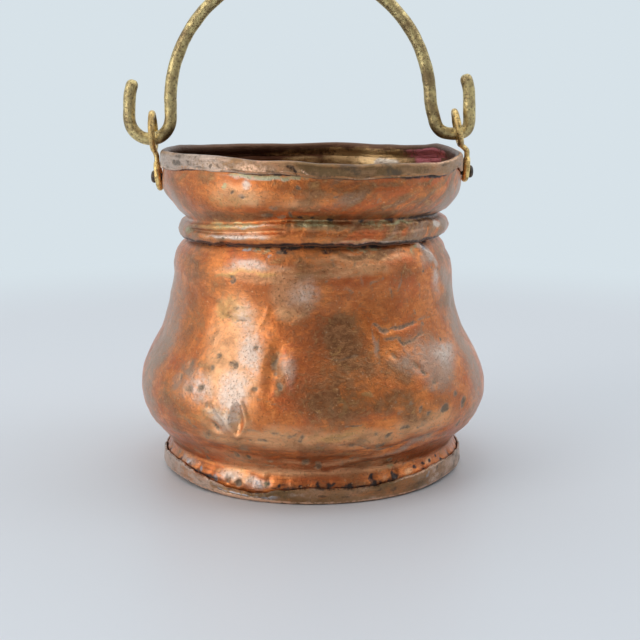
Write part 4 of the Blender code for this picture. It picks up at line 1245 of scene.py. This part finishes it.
class Nodes:
    """Short calls that build the nodes of a material or of the world."""

    def __init__(self, owner):
        owner.use_nodes = True
        self.owner = owner
        self.tree = owner.node_tree
        self.coordinates = self.node("ShaderNodeTexCoord").outputs

    def node(self, kind, inputs=(), **settings):
        node = self.tree.nodes.new(kind)
        for key, value in settings.items():
            setattr(node, key, value)
        for key, value in dict(inputs).items():
            self.feed(node.inputs[key], value)
        return node

    def feed(self, socket, value):
        """Links a socket to an output, or gives it a value or a colour."""
        if isinstance(value, bpy.types.NodeSocket):
            self.tree.links.new(value, socket)
        elif socket.type == "RGBA":
            socket.default_value = (*value, 1)
        else:
            socket.default_value = value

    def math(self, operation, a, b=0.0, c=0.0):
        return self.node("ShaderNodeMath", {0: a, 1: b, 2: c}, operation=operation).outputs[0]

    def attribute(self, name):
        return self.node("ShaderNodeAttribute", attribute_name=name).outputs["Fac"]

    def noise(self, size, detail=3.0, stretch=(1, 1, 1), roughness=0.55, shift=(0, 0, 0), warp=0.0):
        """Noise between 0 and 1 whose lumps are a size in millimetres."""
        place = {"Vector": self.coordinates["Object"], "Scale": stretch, "Location": shift}
        scaled = self.node("ShaderNodeMapping", place).outputs[0]
        inputs = {"Vector": scaled, "Scale": 1 / (size * MM), "Detail": detail, "Roughness": roughness}
        return self.node("ShaderNodeTexNoise", {**inputs, "Distortion": warp}).outputs["Fac"]

    def ramp(self, value, low, high, to_low=0.0, to_high=1.0):
        inputs = {"Value": value, "From Min": low, "From Max": high, "To Min": to_low, "To Max": to_high}
        return self.node("ShaderNodeMapRange", inputs, interpolation_type="SMOOTHSTEP").outputs[0]

    def blend(self, *shares):
        """A weighted sum of values, given as pairs of a value and its weight."""
        total = 0.0
        for value, weight in shares:
            total = self.math("MULTIPLY_ADD", value, weight, total)
        return total

    def broken(self, mask, grain, level=0.5, spread=5.0, soft=0.4, most=1.0):
        """The mask broken up by grain, between 0 and most. Where the mask is 0, it stays 0."""
        factor = self.math("MULTIPLY_ADD", grain, spread, 1 - spread / 2)
        return self.ramp(self.math("MULTIPLY", mask, factor), level - soft, level + soft, 0.0, most)

    def mix(self, share, a, b):
        return self.node("ShaderNodeMix", {0: share, 6: a, 7: b}, data_type="RGBA").outputs[2]

    def tint(self, colour, tone, value, low, high, most=1.0):
        """The colour with a tone over it where a value is high."""
        return self.mix(self.ramp(value, low, high, 0.0, most), colour, tone)

    def cover(self, colour, tone, name, grain, *limits):
        """The colour with a tone over it where the mask of a name is, broken up by grain."""
        return self.mix(self.broken(self.attribute(name), grain, *limits), colour, tone)

    def bump(self, height, depth, normal=None):
        inputs = {"Height": height, "Distance": depth * MM, "Strength": 1.0}
        if normal:
            inputs["Normal"] = normal
        return self.node("ShaderNodeBump", inputs).outputs[0]

    def surface(self, colour, roughness, metallic=0.0, normal=None, coat=0.0, coat_roughness=0.3):
        """Sets the shader, and returns the material."""
        inputs = self.tree.nodes["Principled BSDF"].inputs
        self.feed(inputs["Base Color"], colour)
        self.feed(inputs["Roughness"], roughness)
        self.feed(inputs["Metallic"], metallic)
        if normal:
            self.feed(inputs["Normal"], normal)
        inputs["Coat Weight"].default_value = coat
        inputs["Coat Roughness"].default_value = coat_roughness
        return self.owner


def material_nodes(name):
    return Nodes(bpy.data.materials.new(name))


# Colours of the copper, its films and its wear, and of its painted highlights, sheen, reflections and
# shade
ORANGE = (0.86, 0.29, 0.08)
DEEP_ORANGE = (0.64, 0.175, 0.045)
BROWN_RED = (0.42, 0.12, 0.04)
# Gold of the painted highlights and reflections.
GOLD = (0.93, 0.49, 0.24)
OLIVE_GOLD = (0.80, 0.44, 0.16)
# Pale pink of the painted highlights.
PALE_PINK = (0.81, 0.67, 0.57)
RED = (0.62, 0.15, 0.05)
OLIVE_BROWN = (0.40, 0.20, 0.09)
OLIVE_DARK = (0.22, 0.11, 0.05)
# Grey of the films, also the painted sheen.
TAUPE_GREY = (0.44, 0.32, 0.24)
SPOT_GREY = (0.36, 0.27, 0.17)
SPOT_CORE = (0.17, 0.12, 0.075)
# Near black of black marks and of painted shade.
DARK = (0.03, 0.022, 0.02)
GREEN = (0.46, 0.47, 0.26)
SILVER = (0.47, 0.44, 0.45)
# Inside: a darker brown painted as shade, gold and pale painted highlights, and a painted red
# reflection.
INNER_SHADE_BROWN = (0.22, 0.095, 0.05)
INNER_HIGHLIGHT_GOLD = (1.0, 0.68, 0.33)
REFLECTED_RED = (0.86, 0.27, 0.31)
INNER_HIGHLIGHT_PALE = (1.0, 0.90, 0.76)
PIT_BROWN = (0.19, 0.085, 0.04)
FLECK_GOLD = (0.97, 0.62, 0.34)

# Colours of the rim band and the foot
STRIP_BROWN = (0.42, 0.23, 0.115)
STRIP_TAN = (0.54, 0.29, 0.145)
STRIP_OLIVE = (0.20, 0.12, 0.05)
# Grey of the films, also the painted sheen.
STRIP_GREY = (0.70, 0.53, 0.43)
STRIP_RUST = (0.58, 0.24, 0.09)
STRIP_LINE = (0.20, 0.11, 0.055)
STRIP_SPOT = (0.11, 0.075, 0.045)
STRIP_SPECK = (0.13, 0.085, 0.05)
# Light colour of painted highlights and of bright lines along the edges.
STRIP_HIGHLIGHT = (0.95, 0.60, 0.40)
STRIP_SOLDER = (0.46, 0.46, 0.49)
# Inside the band: dark, painted as shade, and gold for a painted highlight.
STRIP_INNER_SHADE = (0.14, 0.07, 0.04)
STRIP_INNER_HIGHLIGHT = (0.72, 0.46, 0.20)

# Colours of the brass, of the bail and of the links, each rubbed and aged, and of the rivets
BAIL_TONES = ((0.78, 0.63, 0.29), (0.52, 0.40, 0.19))
LINK_TONES = ((1.0, 0.72, 0.28), (0.68, 0.47, 0.19))
BRASS_BROWN = (0.26, 0.17, 0.08)
BRASS_DARK = (0.11, 0.075, 0.04)
IRON = (0.07, 0.06, 0.055)
IRON_RUST = (0.20, 0.14, 0.10)


def copper_material():
    """Worn copper: orange with olive and grey films, black marks, painted highlights, sheen and shade.
    """
    n = material_nodes("hammered_copper")
    wide = n.noise(20, 4, warp=0.5)
    middle = n.noise(8, 6, (1, 1, 1.3), 0.62, warp=0.6)
    mottle = n.noise(4.5, 6, (1, 1, 1.5), 0.7, (0, 0.2, 0), 1.0)
    fine = n.noise(2.2, 5, (1, 1, 1.2), 0.68, warp=0.3)
    grit = n.noise(0.9, 3, roughness=0.75)
    streak = n.noise(10, 5, (1, 1, 9), 0.62)
    grain = n.blend((middle, 0.4), (fine, 0.3), (mottle, 0.3))
    lined = n.attribute("lined")
    pale = n.attribute("pale")

    colour = n.tint(ORANGE, DEEP_ORANGE, grain, 0.42, 0.58)
    colour = n.mix(n.math("MULTIPLY", lined, n.ramp(streak, 0.44, 0.62, 0.0, 0.8)), colour, BROWN_RED)
    colour = n.cover(colour, RED, "rouge", grain, 0.5, 5, 0.4, 0.8)
    # Gold for painted highlights and reflections.
    colour = n.cover(colour, GOLD, "glow", grain, 0.5, 4, 0.45, 0.9)
    colour = n.tint(colour, BROWN_RED, wide, 0.46, 0.62, 0.5)
    colour = n.cover(colour, OLIVE_GOLD, "yellow", mottle, 0.5, 5, 0.4, 0.8)
    colour = n.tint(colour, OLIVE_BROWN, mottle, 0.50, 0.66, 0.45)
    film = n.tint(OLIVE_DARK, OLIVE_BROWN, fine, 0.40, 0.60)
    film = n.tint(film, OLIVE_GOLD, mottle, 0.54, 0.66, 0.5)
    olive = n.broken(n.attribute("olive"), grain, 0.5, 6, 0.45, 0.85)
    colour = n.mix(olive, colour, film)
    # Grey film, with painted sheen.
    taupe = n.broken(n.attribute("taupe"), mottle, 0.5, 2.4, 0.5, 0.75)
    colour = n.mix(taupe, colour, TAUPE_GREY)
    # Pale pink for painted highlights.
    colour = n.cover(colour, PALE_PINK, "pale", fine, 0.5, 2.5, 0.5, 0.85)
    colour = n.cover(colour, GREEN, "green", fine, 0.5, 5, 0.4, 0.7)
    spots = n.broken(n.attribute("spots"), fine, 0.45, 4, 0.4)
    colour = n.mix(n.math("MULTIPLY", spots, 0.62), colour, SPOT_GREY)
    colour = n.cover(colour, SPOT_CORE, "spots", mottle, 0.8, 5, 0.35, 0.8)
    colour = n.cover(colour, SILVER, "solder", fine, 0.55, 5, 0.35, 0.9)
    # Near black for black marks and painted shade.
    soot = n.broken(n.attribute("soot"), n.noise(2.4, 5), 0.52, 2.6, 0.35, 0.97)
    colour = n.mix(soot, colour, DARK)
    pits = n.math("MULTIPLY_ADD", pale, 0.045, n.math("MULTIPLY_ADD", wide, 0.12, grit))
    colour = n.tint(colour, PIT_BROWN, pits, 0.63, 0.76, 0.65)
    colour = n.tint(colour, FLECK_GOLD, n.noise(1.1, 3, shift=(0.1, 0.1, 0.1)), 0.62, 0.76, 0.4)

    # Inside: a darker brown painted as shade, gold and pale painted highlights where the window's light
    # falls, and the painted red reflection.
    inner = n.cover(INNER_SHADE_BROWN, INNER_HIGHLIGHT_GOLD, "glow", grain, 0.5, 5, 0.45)
    inner = n.cover(inner, INNER_HIGHLIGHT_PALE, "pale", grain, 0.5, 3, 0.35, 0.9)
    inner = n.cover(inner, REFLECTED_RED, "rouge", grain, 0.6, 4, 0.3)
    inner = n.tint(inner, INNER_SHADE_BROWN, mottle, 0.5, 0.64, 0.5)
    colour = n.mix(n.ramp(n.attribute("inside"), 0.25, 0.5), colour, inner)

    films = n.math("MAXIMUM", n.math("MULTIPLY", taupe, 0.5), n.math("MAXIMUM", spots, soot))
    roughness = n.blend((middle, 0.18), (films, 0.14), (fine, 0.18), (olive, 0.06))
    roughness = n.math("ADD", roughness, 0.15)
    metallic = n.ramp(films, 0.0, 1.0, 1.0, 0.6)
    normal = n.bump(n.blend((middle, 0.9), (fine, 0.7), (mottle, 0.7)), 0.32)
    stipple = n.math("MULTIPLY", grit, n.math("MULTIPLY_ADD", pale, 0.9, 0.8))
    relief = n.blend((stipple, 1.0), (n.math("MULTIPLY", lined, streak), 1.0), (spots, -0.5))
    return n.surface(colour, roughness, metallic, n.bump(relief, 0.16, normal), 0.3, 0.28)


def dull_material():
    """Brown and grey copper of the rim band and the foot, bright on its edges, with painted highlights,
    sheen and shade.
    """
    n = material_nodes("dull_copper_strip")
    middle = n.noise(5, 6, (1, 1, 1.3), 0.62, warp=0.4)
    fine = n.noise(1.5, 5, roughness=0.65)
    grit = n.noise(0.7, 3, roughness=0.7)
    lines = n.noise(6, 5, (1, 1, 12), 0.6)
    grain = n.blend((middle, 0.5), (fine, 0.5))
    colour = n.tint(STRIP_BROWN, STRIP_TAN, grain, 0.42, 0.58)
    colour = n.cover(colour, STRIP_OLIVE, "olive", grain, 0.55, 4, 0.4, 0.9)
    # Grey film, with painted sheen.
    colour = n.cover(colour, STRIP_GREY, "taupe", grain, 0.75, 4, 0.4, 0.85)
    colour = n.cover(colour, STRIP_RUST, "rouge", grain, 0.8, 4, 0.35, 0.7)
    colour = n.tint(colour, STRIP_LINE, lines, 0.5, 0.68, 0.4)
    spots = n.broken(n.attribute("spots"), fine, 0.5, 4, 0.35, 0.8)
    colour = n.mix(spots, colour, STRIP_SPOT)
    colour = n.mix(n.math("MULTIPLY", n.ramp(grit, 0.56, 0.70), 0.6), colour, STRIP_SPECK)
    # Painted highlights, and bright lines along the edges.
    colour = n.cover(colour, STRIP_HIGHLIGHT, "glow", fine, 0.55, 5, 0.4)
    colour = n.cover(colour, STRIP_SOLDER, "solder", grain, 0.5, 7, 0.4, 0.85)
    # Near black for painted shade in the slit, the crack and the seam.
    colour = n.cover(colour, DARK, "soot", fine, 0.5, 5, 0.35, 0.9)
    # Inside: dark, painted as shade, with a painted highlight and a painted red reflection on the far
    # wall.
    inner = n.cover(STRIP_INNER_SHADE, STRIP_INNER_HIGHLIGHT, "gold", grain, 0.5, 5, 0.4)
    inner = n.cover(inner, REFLECTED_RED, "wine", grain, 0.5, 4, 0.3)
    colour = n.mix(n.ramp(n.attribute("inside"), 0.35, 0.75), colour, inner)
    roughness = n.ramp(fine, 0.3, 0.7, 0.28, 0.46)
    metallic = n.math("SUBTRACT", 0.9, n.math("MULTIPLY", spots, 0.3))
    normal = n.bump(n.blend((middle, 1.0), (fine, 0.8)), 0.36)
    normal = n.bump(n.blend((grit, 1.0), (lines, 0.8)), 0.11, normal)
    return n.surface(colour, roughness, metallic, normal, 0.2, 0.36)


def brass_material(name, rubbed, aged):
    """Forged brass, olive gold where it is rubbed and brown in its hollows."""
    n = material_nodes(name)
    wide = n.noise(9, 5)
    middle = n.noise(2.6, 5)
    fine = n.noise(0.8, 4)
    colour = n.tint(rubbed, aged, middle, 0.38, 0.60)
    colour = n.tint(colour, BRASS_BROWN, wide, 0.50, 0.66, 0.75)
    colour = n.tint(colour, BRASS_DARK, fine, 0.54, 0.66, 0.85)
    normal = n.bump(n.blend((middle, 1.0), (fine, 0.6)), 0.42)
    return n.surface(colour, n.ramp(middle, 0.3, 0.7, 0.32, 0.48), 0.92, normal, 0.2, 0.4)


def rivet_material():
    n = material_nodes("dark_iron")
    middle = n.noise(1.6, 4)
    colour = n.tint(IRON, IRON_RUST, middle, 0.4, 0.65)
    return n.surface(colour, n.ramp(middle, 0.3, 0.7, 0.5, 0.7), 0.6, n.bump(middle, 0.3))


# Stage

WALL = (0.68, 0.76, 0.81)
TABLE = (0.685, 0.715, 0.755)
TABLE_ROUGHNESS = 0.45
TABLE_HALF = 4000
ROOM_FRONT = (0.25, 0.23, 0.22)
ROOM_BACK = (0.62, 0.68, 0.72)
TARGET = Vector((0, 0, 0.065))

# Distances from the pot between which the table takes on the wall's colour, and the directions, from
# -1 at the front to 1 at the back, between which the room does
TABLE_EDGE = (330, 560)
ROOM_TURN = (-0.8, 0.4)

# Camera: focal length, sensor and place, and its angle from straight down
LENS = 72
SENSOR = 36
CAMERA_PLACE = (0.0033, -0.520, 0.162)
CAMERA_ANGLE = 78.75

# Lamps: where each is, its size, its radiance and its colour
LAMPS = {
    "window": ((-1.0, -0.62, 0.42), (0.7, 1.1), 2.1, (1.0, 0.97, 0.95)),
    "side_light": ((1.05, 0.05, 0.95), (0.55, 0.55), 1.7, (0.95, 0.95, 1.0)),
    "ceiling": ((0.0, 0.2, 1.5), (3.0, 3.0), 0.6, (1.0, 1.0, 1.0)),
}


def make_floor():
    """A pale table that fades into the colour of the wall away from the pot."""
    n = material_nodes("pale_table")
    table = n.surface(TABLE, TABLE_ROUGHNESS)
    shader = n.tree.nodes["Principled BSDF"]
    distance = n.node("ShaderNodeVectorMath", {0: n.coordinates["Object"]}, operation="LENGTH")
    away = n.ramp(distance.outputs["Value"], *(end * MM for end in TABLE_EDGE))
    rays = n.node("ShaderNodeLightPath").outputs
    seen = n.math("MAXIMUM", rays["Is Camera Ray"], rays["Is Glossy Ray"])
    glow = n.node("ShaderNodeEmission", {"Color": WALL})
    shares = {0: n.math("MULTIPLY", away, seen), 1: shader.outputs[0], 2: glow.outputs[0]}
    mixed = n.node("ShaderNodeMixShader", shares)
    n.feed(n.tree.nodes["Material Output"].inputs["Surface"], mixed.outputs[0])
    corners = [(x * TABLE_HALF, y * TABLE_HALF, 0) for x, y in ((-1, -1), (1, -1), (1, 1), (-1, 1))]
    mesh_object("table", corners, [(0, 1, 2, 3)], table)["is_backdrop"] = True


def make_world():
    """The wall's colour behind the pot and a darker room in front of it."""
    world = bpy.data.worlds.new("room")
    bpy.context.scene.world = world
    n = Nodes(world)
    depth = n.node("ShaderNodeSeparateXYZ", {0: n.coordinates["Generated"]}).outputs["Y"]
    room = n.tint(ROOM_FRONT, ROOM_BACK, depth, *ROOM_TURN)
    seen = n.node("ShaderNodeLightPath").outputs["Is Camera Ray"]
    n.feed(n.tree.nodes["Background"].inputs["Color"], n.mix(seen, room, WALL))


def make_lamp(name, spot, size, radiance, colour):
    """A soft box that faces the pot. Its power follows from its area and its radiance."""
    data = bpy.data.lights.new(name, "AREA")
    data.shape = "RECTANGLE"
    data.size, data.size_y = size
    data.energy = radiance * math.pi * size[0] * size[1]
    data.color = colour
    lamp = add_object(name, data)
    lamp.location = spot
    lamp.rotation_euler = (TARGET - Vector(spot)).to_track_quat("-Z", "Y").to_euler()


def make_camera():
    data = bpy.data.cameras.new("camera")
    data.lens = LENS
    data.sensor_width = SENSOR
    camera = add_object("camera", data)
    camera.location = CAMERA_PLACE
    camera.rotation_euler = (math.radians(CAMERA_ANGLE), 0, 0)
    bpy.context.scene.camera = camera


def dress(obj, body, slot, *nodes):
    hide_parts(*nodes)
    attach(obj, body)


make_camera()
make_floor()
make_world()
for lamp, settings in LAMPS.items():
    make_lamp(lamp, *settings)
bpy.context.scene.view_settings.view_transform = "Standard"

copper = copper_material()
dull = dull_material()
rod_brass = brass_material("aged_brass", *BAIL_TONES)
link_brass = brass_material("rubbed_brass", *LINK_TONES)
iron = rivet_material()

dress(make_body(copper), "pot", "copper", "body_shell")
dress(make_collar(copper), "pot", "copper", "collar")
dress(make_band(dull), "pot", "dull_copper", "rim_band")
dress(make_pan(dull), "pot", "dull_copper", "base_pan")
dress(make_link("left_link", LEFT_LINK, 91, link_brass), "left_lug", "brass", "left_lug")
dress(make_link("right_link", RIGHT_LINK, 92, link_brass), "right_lug", "brass", "right_lug")
dress(make_bail(rod_brass), "bail", "brass", "bail")
for rivet, link in (("left_rivet", LEFT_LINK), ("right_rivet", RIGHT_LINK)):
    dress(make_rivet(rivet, link, iron), "pot", "dark_rivet", rivet)

boxes = {"cad": cad_box, "visual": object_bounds()}
boxes = {name: [list(corner) for corner in box] for name, box in boxes.items()}
